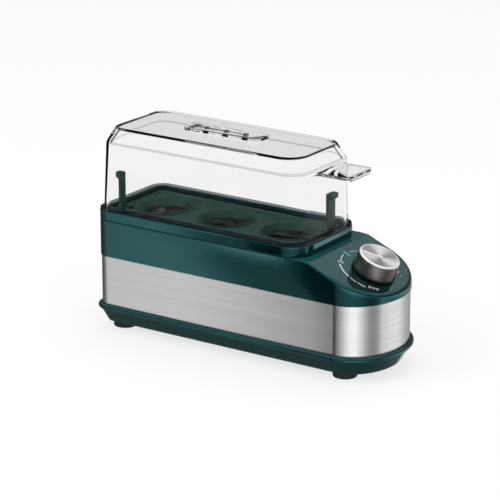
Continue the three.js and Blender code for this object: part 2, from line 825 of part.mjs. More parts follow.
function terminalBlock() {
  const body = solid(box(blockLength, blockWidth, blockHeight, 0, 0, blockBottom + blockHeight / 2));
  const bores = [-1, 1].flatMap((end) => [-1, 1].map((side) => solid(
    rod(poleBore, -poleDepth, poleDepth).rotateY(Math.PI / 2)
      .translate(end * blockLength / 2, side * poleSpacing / 2, poleZ))));
  const screwHole = solid(lathe([
    [0, blockBottom - cutOver],
    [blockScrew.radius + seatGap, blockBottom - cutOver],
    [blockScrew.radius + seatGap, blockBottom + blockHeight / 2],
    [blockScrew.headRadius + seatGap, blockBottom + blockHeight / 2],
    [blockScrew.headRadius + seatGap, blockTop + cutOver],
    [0, blockTop + cutOver],
  ]));
  return cut(body, ...bores, screwHole);
}

addPart(cooker, 'terminal_block', terminalBlock(), ceramic).position.set(blockX, 0, 0);
addPart(cooker, 'block_screw', screw(blockScrew, blockScrewReach).rotateX(Math.PI), zinc)
  .position.set(blockX, 0, blockBottom + blockHeight / 2 + seatGap);

// Regulator: the adjustable thermostat that the knob turns. A bracket hangs it under the deck.
const deckFrame = onDeck(new THREE.Group());
cooker.add(deckFrame);
const bracketThickness = 1.2;
const bracketLength = 22;
const bracketWidth = 28;
const regulatorLength = 20;
const regulatorWidth = 24;
const regulatorHeight = 13;
const regulatorCorner = 2.5;
const regulatorTabSpacing = 12;
const regulatorTabLength = 6;
const shaftFoot = 9;            // how far the shaft reaches into the regulator
const deckScrewPast = 2;        // how far the screws reach past the bracket
const bracketTop = -roof * Math.cos(deckTilt) - fitGap;
const bracketBottom = bracketTop - bracketThickness;
const regulatorTop = bracketBottom - fitGap;
const regulatorBottom = regulatorTop - regulatorHeight;
const regulatorTabZ = regulatorBottom + regulatorHeight / 4;
const deckScrewReach = fitGap - bracketBottom + deckScrewPast;

function regulatorBracket() {
  const plate = solid(extrude(roundedRectangle(bracketLength, bracketWidth, regulatorCorner),
    bracketBottom, bracketTop));
  const bore = solid(
    rod(shaftRadius + turnGap, bracketBottom - cutOver, bracketTop + cutOver, midRoundSteps));
  const threads = [-1, 1].map((side) => solid(
    rod(deckScrew.radius + seatGap, bracketBottom - cutOver, bracketTop + cutOver)
      .translate(0, side * deckScrewSpacing / 2, 0)));
  return cut(plate, bore, ...threads);
}

function regulator() {
  const body = solid(extrude(roundedRectangle(regulatorLength, regulatorWidth, regulatorCorner),
    regulatorBottom, regulatorTop));
  const tabs = [-1, 1].map((side) => solid(box(2 * regulatorTabLength, tabWidth, tabThickness,
    -regulatorLength / 2, side * regulatorTabSpacing / 2, regulatorTabZ)));
  const bore = solid(
    rod(shaftRadius + turnGap, regulatorTop - shaftFoot - fitGap, regulatorTop + cutOver, midRoundSteps));
  const screwTips = [-1, 1].map((side) => solid(
    rod(deckScrew.radius + turnGap, regulatorTop - deckScrewReach, regulatorTop + cutOver)
      .translate(0, side * deckScrewSpacing / 2, 0)));
  return cut(join(body, ...tabs), bore, ...screwTips);
}

addPart(deckFrame, 'regulator_bracket', regulatorBracket(), zinc);
addPart(deckFrame, 'regulator', regulator(), ceramic);
[['near', -1], ['far', 1]].forEach(([place, side]) => {
  addPart(deckFrame, `deck_screw_${place}`, screw(deckScrew, deckScrewReach).rotateX(Math.PI), zinc)
    .position.set(0, side * deckScrewSpacing / 2, fitGap);
});

// Wires: insulated leads between the terminal block, the regulator, the element and its cut-outs.
const wireRadius = 1.3;
const wireSteps = 12;
const wireBow = 8;              // straight run of a lead as it leaves a terminal
const wireDrop = 12;            // how far it hangs below the pieces that it joins
const farWireY = 14;            // the lead of the fuse passes behind the others

function shifted([x, y, z], dx, dy, dz) {
  return [x + dx, y + dy, z + dz];
}

// The free end of each terminal.
function blockPole(side) {
  return [blockX + blockLength / 2 + fitGap, side * poleSpacing / 2, poleZ];
}

function regulatorTab(side) {
  const tip = new THREE.Vector3(-regulatorLength / 2 - regulatorTabLength - fitGap,
    side * regulatorTabSpacing / 2, regulatorTabZ);
  return tip.applyMatrix4(deckFrame.matrixWorld).toArray();
}

function thermostatTab(side) {
  return [thermostatX + side * tabSpacing / 2, 0, thermostatBottom - tabLength - fitGap];
}

function elementPin(side) {
  return [elementRight + pinLength + 2 * fitGap, side * elementSpacing / 2, elementZ];
}

function fuseEnd(side) {
  return [fuseX + side * (fuseLength / 2 + fitGap), 0, fuseZ];
}

function addWire(name, material, points) {
  const curve = new THREE.CatmullRomCurve3(points.map((p) => new THREE.Vector3(...p)));
  addPart(cooker, name, tube(curve, wireRadius, wireSteps, wireSides), material);
}

addWire('wire_block_regulator', red, [
  blockPole(-1),
  shifted(blockPole(-1), wireBow, 0, 0),
  shifted(regulatorTab(-1), -wireBow, 0, -wireDrop),
  shifted(regulatorTab(-1), -wireBow / 2, 0, 0),
  regulatorTab(-1),
]);
addWire('wire_regulator_thermostat', red, [
  regulatorTab(1),
  shifted(regulatorTab(1), -wireBow / 2, 0, 0),
  shifted(regulatorTab(1), -wireDrop, 0, -wireDrop),
  shifted(thermostatTab(1), 2 * wireDrop, 0, -wireDrop),
  shifted(thermostatTab(1), 0, 0, -wireBow),
  thermostatTab(1),
]);
addWire('wire_thermostat_element', white, [
  thermostatTab(-1),
  shifted(thermostatTab(-1), 0, 0, -wireBow),
  shifted(thermostatTab(-1), wireDrop, -elementSpacing / 2, -wireDrop),
  shifted(elementPin(-1), wireBow, 0, -wireDrop),
  shifted(elementPin(-1), wireBow, 0, 0),
  elementPin(-1),
]);
addWire('wire_element_fuse', white, [
  elementPin(1),
  shifted(elementPin(1), wireBow, 0, 0),
  shifted(elementPin(1), wireBow, -elementSpacing / 2, 0),
  shifted(fuseEnd(1), wireBow / 2, 0, 0),
  fuseEnd(1),
]);
addWire('wire_fuse_block', blue, [
  fuseEnd(-1),
  shifted(fuseEnd(-1), -wireBow / 2, 0, 0),
  shifted(fuseEnd(-1), -wireBow / 2, farWireY, -wireDrop),
  shifted(blockPole(1), -wireBow, farWireY, wireDrop),
  shifted(blockPole(1), wireBow, farWireY / 2, 0),
  blockPole(1),
]);

// Control shaft: it turns in the regulator. A flat drives the knob and a clip keeps it in place.
const shaftTop = 8;
const shaftFlat = 0.6;          // depth of the flat
const clipGroove = 0.5;
const clipThickness = 0.8;
const clipBottom = turnGap + fitGap;
const clipRadius = 4.6;
const clipMouth = 35;           // half angle of its opening in degrees
const hubBottom = fitGap + deckScrew.headHeight + turnGap;
const shaftFlatFoot = hubBottom - fitGap;

function controlShaft() {
  const grooveRadius = shaftRadius - clipGroove;
  const shaft = solid(lathe([
    [0, regulatorTop - shaftFoot],
    [shaftRadius, regulatorTop - shaftFoot],
    [shaftRadius, clipBottom - seatGap],
    [grooveRadius, clipBottom - seatGap],
    [grooveRadius, clipBottom + clipThickness + seatGap],
    [shaftRadius, clipBottom + clipThickness + seatGap],
    [shaftRadius, shaftTop],
    [0, shaftTop],
  ], midRoundSteps));
  const flat = solid(box(shaftRadius, 2 * shaftRadius, 2 * shaftTop,
    1.5 * shaftRadius - shaftFlat, 0, shaftFlatFoot + shaftTop));
  return cut(shaft, flat);
}

function shaftClip() {
  const section = openRing(shaftRadius - clipGroove + seatGap, clipRadius, clipMouth);
  return extrude(section, clipBottom, clipBottom + clipThickness);
}

addPart(deckFrame, 'control_shaft', controlShaft(), steel);
addPart(deckFrame, 'shaft_clip', shaftClip(), steel);

// Knob: a black core on the shaft's flat under a spun cap with a shallow dish, and a white pointer.
const knobSkirtRadius = 14.2;
const knobFootRadius = 13.85;
const knobHeadRadius = 13.2;
const knobHeight = 12;
const knobSkirtHeight = 1;
const knobCapWall = 0.8;
const knobChamfer = 0.9;
const knobDish = 1.1;
const knobSteps = 40;
const coreWall = 1.5;
const coreRoof = 2.2;
const hubRadius = 5.5;
const pointerAzimuth = THREE.MathUtils.degToRad(220.5);
const pointerWidth = 2;
const pointerThickness = 0.5;
const pointerPastCentre = 2;
const knobBottom = turnGap;
const capBottom = knobBottom + knobSkirtHeight + fitGap;
const capDishRadius = knobHeadRadius - knobChamfer;
const coreTop = knobHeight - knobDish - knobCapWall - fitGap;

// The height of the cap's dished top at a distance from the axis.
function dishHeight(radius) {
  return knobHeight - knobDish + knobDish * Math.abs(radius) / capDishRadius;
}

function knobCap() {
  return lathe([
    [knobFootRadius, capBottom],
    [knobHeadRadius, knobHeight - knobChamfer],
    [capDishRadius, dishHeight(capDishRadius)],
    [0, dishHeight(0)],
    [0, dishHeight(0) - knobCapWall],
    [capDishRadius, dishHeight(0) - knobCapWall],
    [knobFootRadius - knobCapWall, capBottom],
    [knobFootRadius, capBottom],
  ], knobSteps);
}

function knobCore() {
  const footOuter = knobFootRadius - knobCapWall - fitGap;
  const topOuter = capDishRadius - fitGap;
  const outer = solid(lathe([
    [0, knobBottom],
    [knobSkirtRadius, knobBottom],
    [knobSkirtRadius, knobBottom + knobSkirtHeight],
    [footOuter, knobBottom + knobSkirtHeight],
    [topOuter, coreTop],
    [0, coreTop],
  ], roundSteps));
  const hollow = solid(lathe([
    [0, knobBottom - cutOver],
    [footOuter - coreWall, knobBottom - cutOver],
    [topOuter - coreWall, coreTop - coreRoof],
    [hubRadius, coreTop - coreRoof],
    [hubRadius, hubBottom],
    [0, hubBottom],
  ], roundSteps));
  const boreRadius = shaftRadius + fitGap;
  const flat = solid(box(boreRadius, 2 * boreRadius, 2 * shaftTop,
    shaftRadius - shaftFlat + fitGap + boreRadius / 2, 0, shaftTop));
  const bore = cut(solid(rod(boreRadius, knobBottom, shaftTop + fitGap, midRoundSteps)), flat);
  return cut(outer, hollow, bore);
}

function knobPointer() {
  const stations = [-pointerPastCentre, 0, capDishRadius];
  const under = stations.map((r) => [r, dishHeight(r) + fitGap]);
  const over = stations.map((r) => [r, dishHeight(r) + fitGap + pointerThickness]).reverse();
  const section = new THREE.Shape([...under, ...over].map(([x, y]) => new THREE.Vector2(x, y)));
  return extrude(section, -pointerWidth / 2, pointerWidth / 2).rotateX(Math.PI / 2)
    .rotateZ(pointerAzimuth);
}

addPart(deckFrame, 'knob_core', knobCore(), black);
addPart(deckFrame, 'knob_cap', knobCap(), aluminium);
addPart(deckFrame, 'knob_pointer', knobPointer(), white);

// Egg tray: a green moulding with three funnel seats, a low rim and two hooked handles, one at each
// end and on opposite sides.
const trayPlay = 1.3;           // between the plate and the collar's upstand
const trayInset = collarInner + trayPlay;
const trayRimHeight = 1.2;
const trayRimWall = 1.4;
const seatCount = 3;
const seatMargin = 5.1;         // from a seat's rim to the middle between two seats
const seatFunnel = 3.6;         // from a seat's rim in to its hole
const seatLip = 0.8;            // how far a seat's rim stands above the plate
const seatLipWidth = 1;
const seatDepth = 3.2;          // how far a funnel reaches below the plate
const seatWall = 1.3;
const vapourSlotFromRim = 3;    // from a seat's rim to the middle of the slot
const vapourSlotWidth = 3;
const vapourSlotAzimuth = 215;
const vapourSlotHalfAngle = 11;
const trayBottom = clampTop + seatGap;
const trayTop = trayBottom + trayPlate;
const seatSpacing = (collarLength - 2 * collarInner - 2 * turnGap) / seatCount;
const seatRadius = seatSpacing / 2 - seatMargin;
const seatHoleRadius = seatRadius - seatFunnel;
const vapourSlotRadius = seatRadius + vapourSlotFromRim;
const handleHeight = 25.2;      // above the plate
const leftHandleFromSide = 16.5;
const rightHandleFromSide = 20.5;
const handleWidth = 5.8;
const handleThickness = 2.2;
const handleFlare = 8;          // how far its foot spreads to each side
const handleFlareHeight = 6;
const handleSetback = 2;        // from the plate's end to the handle's outer face
const hookReach = 2.3;
const hookHeight = 2.6;
const handleTop = trayTop + handleHeight;
const leftHandleY = leftHandleFromSide - bodyWidth / 2;
const rightHandleY = bodyWidth / 2 - rightHandleFromSide;

function traySeat() {
  return solid(lathe([
    [seatHoleRadius, trayBottom - seatDepth],
    [seatHoleRadius + seatWall, trayBottom - seatDepth],
    [seatRadius, trayBottom],
    [seatRadius, trayTop + seatLip],
    [seatRadius - seatLipWidth, trayTop + seatLip],
    [seatHoleRadius, trayBottom - seatDepth + seatWall],
    [seatHoleRadius, trayBottom - seatDepth],
  ], roundSteps));
}

// A handle at the left end: a stem with a spreading foot, and a hook that points outwards.
function trayHandle(handleY) {
  const outline = new THREE.Shape();
  const half = handleWidth / 2;
  const foot = trayTop - trayPlate / 2;
  const flareTop = trayTop + handleFlareHeight;
  const round = half / 3;
  outline.moveTo(-half - handleFlare, foot);
  outline.lineTo(half + handleFlare, foot);
  outline.lineTo(half + handleFlare, trayTop + round);
  outline.quadraticCurveTo(half, trayTop + round, half, flareTop);
  outline.lineTo(half, handleTop - round);
  outline.quadraticCurveTo(half, handleTop, half - round, handleTop);
  outline.lineTo(round - half, handleTop);
  outline.quadraticCurveTo(-half, handleTop, -half, handleTop - round);
  outline.lineTo(-half, flareTop);
  outline.quadraticCurveTo(-half, trayTop + round, -half - handleFlare, trayTop + round);
  const outerX = left + trayInset + handleSetback;
  const stem = solid(extrude(outline, 0, handleThickness).rotateX(Math.PI / 2).rotateZ(Math.PI / 2)
    .translate(outerX, handleY, 0));
  const hook = new THREE.Shape();
  hook.moveTo(outerX + handleThickness / 2, handleTop - round);
  hook.lineTo(outerX - hookReach, handleTop - round);
  hook.lineTo(outerX - hookReach, handleTop - hookHeight);
  hook.lineTo(outerX + handleThickness / 2, handleTop - hookHeight - hookReach);
  const tip = solid(extrude(hook, -half + round, half - round).rotateX(Math.PI / 2)
    .translate(0, handleY, 0));
  return stem.add(tip);
}

// Turned half round about the middle of the collar.
function endForEnd(manifold) {
  return manifold.translate([-collarMid, 0, 0]).rotate([0, 0, 180]).translate([collarMid, 0, 0]);
}

function vapourSlot() {
  const from = vapourSlotAzimuth - vapourSlotHalfAngle;
  const to = vapourSlotAzimuth + vapourSlotHalfAngle;
  const outerRadius = vapourSlotRadius + vapourSlotWidth / 2;
  const innerRadius = vapourSlotRadius - vapourSlotWidth / 2;
  const outer = arc(0, 0, outerRadius, outerRadius, from, to, cornerSteps);
  const inner = arc(0, 0, innerRadius, innerRadius, to, from, cornerSteps);
  const section = new THREE.Shape([...outer, ...inner].map(([x, y]) => new THREE.Vector2(x, y)));
  return solid(extrude(section, trayBottom - cutOver, trayTop + cutOver)
    .translate(collarMid - seatSpacing, 0, 0));
}

function eggTray() {
  const plate = solid(loftProfile(collarHalf, [
    [trayInset, trayBottom],
    [trayInset, trayTop + trayRimHeight],
    [trayInset + trayRimWall, trayTop + trayRimHeight],
    [trayInset + 1.5 * trayRimWall, trayTop],
  ]));
  const seatX = [-1, 0, 1].map((i) => collarMid + i * seatSpacing);
  const seatHoles = seatX.map((x) => solid(
    rod(seatRadius - seatLipWidth / 2, trayBottom - cutOver, trayTop + cutOver, roundSteps)
      .translate(x, 0, 0)));
  const seats = seatX.map((x) => traySeat().translate([x, 0, 0]));
  const slot = vapourSlot();
  const footTop = trayTop + handleFlareHeight;
  const room = join(prism(collarHalf, trayInset, trayBottom, footTop),
    prism(collarHalf, upstandInset, footTop, handleTop + cutOver));
  const handles = join(trayHandle(leftHandleY), endForEnd(trayHandle(-rightHandleY))).intersect(room);
  return join(cut(plate, ...seatHoles, slot, endForEnd(slot)), ...seats, handles);
}

addPart(cooker, 'egg_tray', eggTray(), trayGreen);

// Lid: a clear cover with a flange that sits on the collar, a bevelled crown with steam holes in a
// raised panel, and a finger tab over the control deck.
const lidFlangeInset = 0.3;
const lidInnerInset = upstandInset - fitGap;
const lidFootInset = lidInnerInset - lidWall;
const lidShoulderInset = 3.7;
const lidCrownInset = 7.9;
const crownLeftRadius = 9;
const crownRightRadius = 13;
const crownEdge = 1.2;
const lidCeiling = 2.2;
const panelLength = 58;
const panelWidth = 16;
const panelRise = 1.9;
const panelRadius = 4;
const panelWall = 1.6;          // of the panel's own edge
const steamHoleRadius = 2.1;
const steamHolePitch = 15;
const tabReach = 24.8;          // from the lid's wall to the tab's end
const lidTabWidth = 29.5;
const lidTabThickness = 2;
const lidTabCorner = 4;
const lidTabFillet = 6;
const lidTabLip = 1.2;
const lidTabLipWidth = 1.8;

function crownHalf(inset) {
  const y = inset - bodyWidth / 2;
  const near = arc(left + inset + crownLeftRadius, y + crownLeftRadius, crownLeftRadius, crownLeftRadius,
    180, 270, cornerSteps);
  const far = arc(collarRight - inset - crownRightRadius, y + crownRightRadius, crownRightRadius,
    crownRightRadius, -90, 0, cornerSteps);
  return [...near, ...far];
}

function lidTab() {
  const root = collarRight - lidShoulderInset - lidWall / 2;
  const end = collarRight - lidShoulderInset + tabReach;
  const half = lidTabWidth / 2;
  const outline = new THREE.Shape();
  outline.moveTo(root, half + lidTabFillet);
  outline.lineTo(root, -half - lidTabFillet);
  outline.lineTo(root + lidWall / 2, -half - lidTabFillet);
  outline.quadraticCurveTo(root + lidWall / 2, -half, root + lidWall / 2 + lidTabFillet, -half);
  outline.lineTo(end - lidTabCorner, -half);
  outline.quadraticCurveTo(end, -half, end, -half + lidTabCorner);
  outline.lineTo(end, half - lidTabCorner);
  outline.quadraticCurveTo(end, half, end - lidTabCorner, half);
  outline.lineTo(root + lidWall / 2 + lidTabFillet, half);
  outline.quadraticCurveTo(root + lidWall / 2, half, root + lidWall / 2, half + lidTabFillet);
  const top = lidShoulder - seatGap;
  const tab = solid(extrude(outline, top - lidTabThickness, top));
  const lip = solid(box(lidTabLipWidth, lidTabWidth - 2 * lidTabCorner, lidTabThickness + lidTabLip,
    end - lidTabLipWidth / 2, 0, top - (lidTabThickness + lidTabLip) / 2));
  return tab.add(lip);
}

function lidShell() {
  const flangeTop = lidBottom + lidFlangeHeight;
  const upstandTop = collarTop + upstandHeight + turnGap;
  const outer = solid(loft([
    ring(collarHalf(lidFlangeInset), lidBottom),
    ring(collarHalf(lidFlangeInset), flangeTop),
    ring(collarHalf(lidFootInset), flangeTop),
    ring(crownHalf(lidShoulderInset), lidShoulder),
    ring(crownHalf(lidCrownInset), lidTop - crownEdge / 2),
    ring(crownHalf(lidCrownInset + crownEdge), lidTop),
  ]));
  const inner = solid(loft([
    ring(collarHalf(lidInnerInset), lidBottom - cutOver),
    ring(collarHalf(lidInnerInset), upstandTop),
    ring(crownHalf(lidShoulderInset + lidWall), lidShoulder - lidWall / 2),
    ring(crownHalf(lidCrownInset + lidWall), lidTop - lidCeiling),
  ]));
  const panel = solid(extrude(roundedRectangle(panelLength, panelWidth, panelRadius),
    lidTop - lidCeiling / 2, lidTop + panelRise).translate(collarMid, 0, 0));
  const recess = solid(extrude(roundedRectangle(panelLength - 2 * panelWall, panelWidth - 2 * panelWall,
    panelRadius - panelWall), lidTop - lidCeiling - cutOver, lidTop + panelRise - lidCeiling)
    .translate(collarMid, 0, 0));
  const holes = [-1, 0, 1].map((i) => solid(
    rod(steamHoleRadius, lidTop - lidCeiling - cutOver, lidTop + panelRise + cutOver, midRoundSteps)
      .translate(collarMid + i * steamHolePitch, 0, 0)));
  return cut(join(cut(outer, inner), panel, lidTab()), recess, ...holes);
}

addPart(cooker, 'lid_shell', lidShell(), clear);

export default cooker;
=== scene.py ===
from math import cos, pi, radians, sin, tan

import bmesh
import bpy
from mathutils import Matrix, Vector


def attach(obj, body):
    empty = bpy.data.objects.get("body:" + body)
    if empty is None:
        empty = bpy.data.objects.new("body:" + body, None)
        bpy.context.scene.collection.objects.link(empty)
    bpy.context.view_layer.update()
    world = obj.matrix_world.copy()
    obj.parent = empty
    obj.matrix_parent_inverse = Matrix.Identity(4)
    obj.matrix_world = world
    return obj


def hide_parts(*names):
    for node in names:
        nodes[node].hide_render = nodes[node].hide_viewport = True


# The looks of an electric egg cooker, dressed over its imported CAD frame. Sizes are in millimetres
# and become metres in the meshes. +X runs towards the knob, +Y to the back and +Z is up.
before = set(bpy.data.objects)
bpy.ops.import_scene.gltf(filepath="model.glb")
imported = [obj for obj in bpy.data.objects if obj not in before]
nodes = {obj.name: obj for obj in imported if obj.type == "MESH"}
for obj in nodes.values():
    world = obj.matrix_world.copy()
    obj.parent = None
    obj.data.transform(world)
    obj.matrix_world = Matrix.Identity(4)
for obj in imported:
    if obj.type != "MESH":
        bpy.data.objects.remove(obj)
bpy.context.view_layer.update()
MM = 0.001


# Camera: it stands to the right of the front, a little above the lid, with a long lens.
# Its direction, distance and lens come from the straight edges of the body and the lid.
camera_azimuth = radians(34.0105)
camera_elevation = radians(17.8167)
camera_lens = 177.633
camera_place = Vector((833.066, -1245.966, 543.715))


def placed(name, data):
    """A new object at the origin."""
    made = bpy.data.objects.new(name, data)
    bpy.context.collection.objects.link(made)
    return made


backward = Vector((
    sin(camera_azimuth) * cos(camera_elevation),
    -cos(camera_azimuth) * cos(camera_elevation),
    sin(camera_elevation),
))
rightward = Vector((cos(camera_azimuth), sin(camera_azimuth), 0))
facing = Matrix((rightward, backward.cross(rightward), backward)).transposed().to_4x4()
camera = placed("camera", bpy.data.cameras.new("camera"))
camera.data.lens = camera_lens
camera.matrix_world = Matrix.Translation(camera_place * MM) @ facing
bpy.context.scene.camera = camera
bpy.context.scene.view_settings.view_transform = "Standard"


# Studio: a plain white floor that keeps a soft shadow, three large lamps and a pale surround. In
# the surround's reflection, soft boxes and dark gaps alternate round the horizon.
class Wire:
    """A socket of a node tree. A sum or product written with it adds its Math nodes."""

    def __init__(self, tree, socket):
        self.tree = tree
        self.socket = socket

    def worked_out(self, operation, *terms):
        node = self.tree.nodes.new("ShaderNodeMath")
        node.operation = operation
        for place, term in zip(node.inputs, terms):
            if isinstance(term, Wire):
                self.tree.links.new(term.socket, place)
            else:
                place.default_value = term
        return Wire(self.tree, node.outputs[0])

    def output(self, name):
        return Wire(self.tree, self.socket.node.outputs[name])

    def __add__(self, other):
        return self.worked_out("ADD", self, other)

    def __sub__(self, other):
        return self.worked_out("SUBTRACT", self, other)

    def __rsub__(self, other):
        return self.worked_out("SUBTRACT", other, self)

    def __mul__(self, other):
        return self.worked_out("MULTIPLY", self, other)


class Wiring:
    """A node tree that is being wired. Its methods add the nodes that aren't plain arithmetic."""

    def __init__(self, tree):
        self.tree = tree
        tree.nodes.clear()

    def node(self, kind, settings=(), sockets=(), output=0):
        node = self.tree.nodes.new(kind)
        for name, value in dict(settings).items():
            if name == "stops":
                ramp = node.color_ramp
                while len(ramp.elements) < len(value):
                    ramp.elements.new(1)
                for element, (position, grey) in zip(ramp.elements, value):
                    element.position = position
                    element.color = (grey, grey, grey, 1)
            else:
                setattr(node, name, value)
        for name, value in dict(sockets).items():
            if isinstance(value, Wire):
                self.tree.links.new(value.socket, node.inputs[name])
            else:
                node.inputs[name].default_value = value
        return Wire(self.tree, node.outputs[output]) if len(node.outputs) else None

    def share(self, measure, start, end):
        """Grows smoothly from 0 to 1 while a measure goes from its start to its end."""
        return self.node("ShaderNodeMapRange", {"interpolation_type": "SMOOTHSTEP"}, {
            "Value": measure, "From Min": start, "From Max": end,
        })

    def rays(self, first, second):
        """1 for light rays of either kind, and 0 for the rest."""
        ray = self.node("ShaderNodeLightPath", output=f"Is {first} Ray")
        return ray.worked_out("MAXIMUM", ray, ray.output(f"Is {second} Ray"))


def painted(name):
    """A new material and the wiring of its nodes."""
    material = bpy.data.materials.new(name)
    material.use_nodes = True
    return material, Wiring(material.node_tree)


floor_white = 0.94
floor_glow = 0.74
floor_reach = 4.0
ambient = 0.62
# Round the object, against the angle from +X in degrees: how bright the strip is that upright walls
# mirror to the camera, and how bright the soft boxes are above and below this strip.
horizon = [
    (-180, 0.1, 0.05), (-160, 0.2, 0.2), (-140, 0.45, 0.7), (-129, 0.8, 0.8), (-127.4, 1.0, 0.6),
    (-126.5, 0.7, 0.6), (-125.6, 0.32, 0.75), (-124, 0.25, 1.75), (-122, 0.34, 2.7), (-120.5, 0.01, 0),
    (-115, 0.02, 0), (-106.5, 0.17, 0.36), (-91, 0.31, 0.98), (-76, 0.41, 1.8), (-62, 0.48, 2.45),
    (-48, 0.47, 2.6), (-35, 0.35, 1.85), (-22.8, 0.22, 1.05), (-11, 0.13, 0.6), (0, 0.24, 0.5),
    (6, 0.33, 0.62), (14, 0.92, 0.7), (24, 0.7, 1.25), (41, 0.65, 1.8), (54, 0.75, 1.55),
    (64, 0.65, 1.3), (72, 0.6, 0.5), (84, 0.5, 0.2), (94, 0.4, 0.9), (125, 0.3, 0.9), (155, 0.12, 0.05),
]
box_power = 2.7
low_gap = 0.2
high_gap = 0.16
overhead = 0.64
# Where each of them begins and is full: first by height, from -1 straight down to 1 straight up,
# and then, for the dark band between two boxes, by the angle.
strip_foot = (-0.43, -0.38)
strip_head = (-0.26, -0.21)
boxes_foot = (-0.56, -0.5)
boxes_head = (-0.06, 0.02)
overhead_foot = (0.46, 0.56)
dark_start = (-122.15, -122.0)
dark_end = (-115.5, -112.5)

world = bpy.data.worlds.new("studio")
world.use_nodes = True
bpy.context.scene.world = world
studio = Wiring(world.node_tree)
direction = studio.node("ShaderNodeSeparateXYZ", sockets={
    0: studio.node("ShaderNodeTexCoord", output="Generated"),
})
bearing = direction.worked_out("ARCTAN2", direction.output("Y"), direction.output("X")) * (0.5 / pi) + 0.5
angle = bearing * 360 - 180
height = direction.output("Z")
dark_band = studio.share(angle, *dark_start) * (1 - studio.share(angle, *dark_end))
strip, boxes = [studio.node("ShaderNodeValToRGB", {
    "stops": [(row[0] / 360 + 0.5, row[column] / box_power) for row in horizon],
}, {0: bearing}) * box_power * (1 - dark_band) for column in (1, 2)]
in_strip = studio.share(height, *strip_foot) * (1 - studio.share(height, *strip_head))
over_foot = studio.share(height, *boxes_foot)
over_boxes = studio.share(height, *boxes_head)
over_all = studio.share(height, *overhead_foot)
sides = strip * in_strip + boxes * (over_foot * (1 - over_boxes) * (1 - in_strip))
gaps = (1 - over_foot) * low_gap + over_boxes * (1 - over_all) * high_gap
seen = sides + gaps + over_all * overhead
mirrored = studio.node("ShaderNodeLightPath", output="Is Glossy Ray")
clear_view = studio.rays("Camera", "Transmission")
plain = clear_view + (1 - clear_view) * ambient
surround = studio.node("ShaderNodeBackground", sockets={
    "Color": (1, 1, 1, 1), "Strength": mirrored * seen + (1 - mirrored) * plain,
})
studio.node("ShaderNodeOutputWorld", sockets={"Surface": surround})

floor_mesh = bpy.data.meshes.new("floor")
floor_corners = [(x * floor_reach, y * floor_reach, 0) for x, y in ((-1, -1), (1, -1), (1, 1), (-1, 1))]
floor_mesh.from_pydata(floor_corners, [], [(0, 1, 2, 3)])
floor = placed("floor", floor_mesh)
floor.visible_glossy = False
floor_paint, paint = painted("floor_white")
seen_share = paint.rays("Camera", "Transmission") * floor_glow
grain = paint.node("ShaderNodeTexNoise", sockets={
    "Vector": paint.node("ShaderNodeTexCoord", output="Object"), "Scale": 40.0,
})
matt = paint.node("ShaderNodeBsdfDiffuse", sockets={
    "Color": (*[floor_white] * 3, 1),
    "Normal": paint.node("ShaderNodeBump", sockets={"Height": grain, "Strength": 0.02}),
})
mixed = paint.node("ShaderNodeMixShader", sockets={
    0: seen_share, 1: matt, 2: paint.node("ShaderNodeEmission"),
})
paint.node("ShaderNodeOutputMaterial", sockets={"Surface": mixed})
floor_mesh.materials.append(floor_paint)

# Each lamp's place and width in metres, and its power in watts.
lamps = {
    "key_lamp": ((-0.75, -1.0, 1.25), 1.0, 9.0),
    "fill_lamp": ((1.2, -0.6, 0.8), 0.9, 3.5),
    "top_lamp": ((0.05, 0.35, 1.5), 1.2, 7.0),
}
lamps_aim = Vector((0, 0, 0.06))
for lamp_name, (place, width, watts) in lamps.items():
    light = bpy.data.lights.new(lamp_name, "AREA")
    light.shape = "SQUARE"
    light.size = width
    light.energy = watts
    lamp = placed(lamp_name, light)
    lamp.location = place
    lamp.rotation_euler = (lamps_aim - Vector(place)).to_track_quat("-Z", "Y").to_euler()
    lamp.visible_glossy = False


# Base pan: a moulding in glossy dark green plastic with a rounded lip all round. It is screwed to
# the housing from below through four wells, and five slots let air in under the heater.
body_length = 210.5
body_width = 72.0
body_corner = 10.0
least_corner = 2.5
nose_length = 28.0
collar_length = 158.8
crease_gap = 5.9
crease_half = 0.7
left_end = -body_length / 2
half_width = body_width / 2
nose_start = body_length / 2 - nose_length
collar_end = left_end + collar_length
crease = collar_end + crease_gap
pan_bottom = 4.2
pan_top = 17.1
pan_floor = 6.4
well_radius = 3.1
well_wall = 1.8
well_seat = 8.0
well_top = 10.0
screw_hole = 1.8
well_spots = ((-75.25, -25.5), (60.25, -25.5), (-75.25, 25.5), (60.25, 25.5))
foot_spots = ((-91.45, -22), (78.45, -22), (-91.45, 22), (78.45, 22))
stem_hole = 2.7
peg_spot = (30, 0)
peg_radius = 3.4
peg_top = 9.4
slot_first = -44
slot_pitch = 6.5
turned_uv = 80


def arc(x, y, radius, start, end, steps, radius_y=None):
    """Points of an arc between two angles in degrees, both ends included."""
    turns = [radians(start + (end - start) * i / steps) for i in range(steps + 1)]
    return [(x + radius * cos(a), y + (radius_y or radius) * sin(a)) for a in turns]


def left_corner(inset):
    radius = max(body_corner - inset, least_corner)
    return arc(left_end + inset + radius, inset - half_width + radius, radius, 180, 270, 12)


def body_half(inset):
    """The near half of the body's outline, moved inwards by an inset."""
    side = inset - half_width
    straight = [(x, side) for x in (collar_end, crease - crease_half, crease, crease + crease_half)]
    nose = arc(nose_start, 0, nose_length - inset, -90, 0, 40, half_width - inset)
    return [*left_corner(inset), *straight, *nose]


def ring(half, height):
    """A closed ring: the near half of an outline and its mirror image."""
    near = [Vector((x, y, height(x) if callable(height) else height)) for x, y in half]
    return near + [Vector((p.x, -p.y, p.z)) for p in reversed(near) if abs(p.y) > 1e-6]


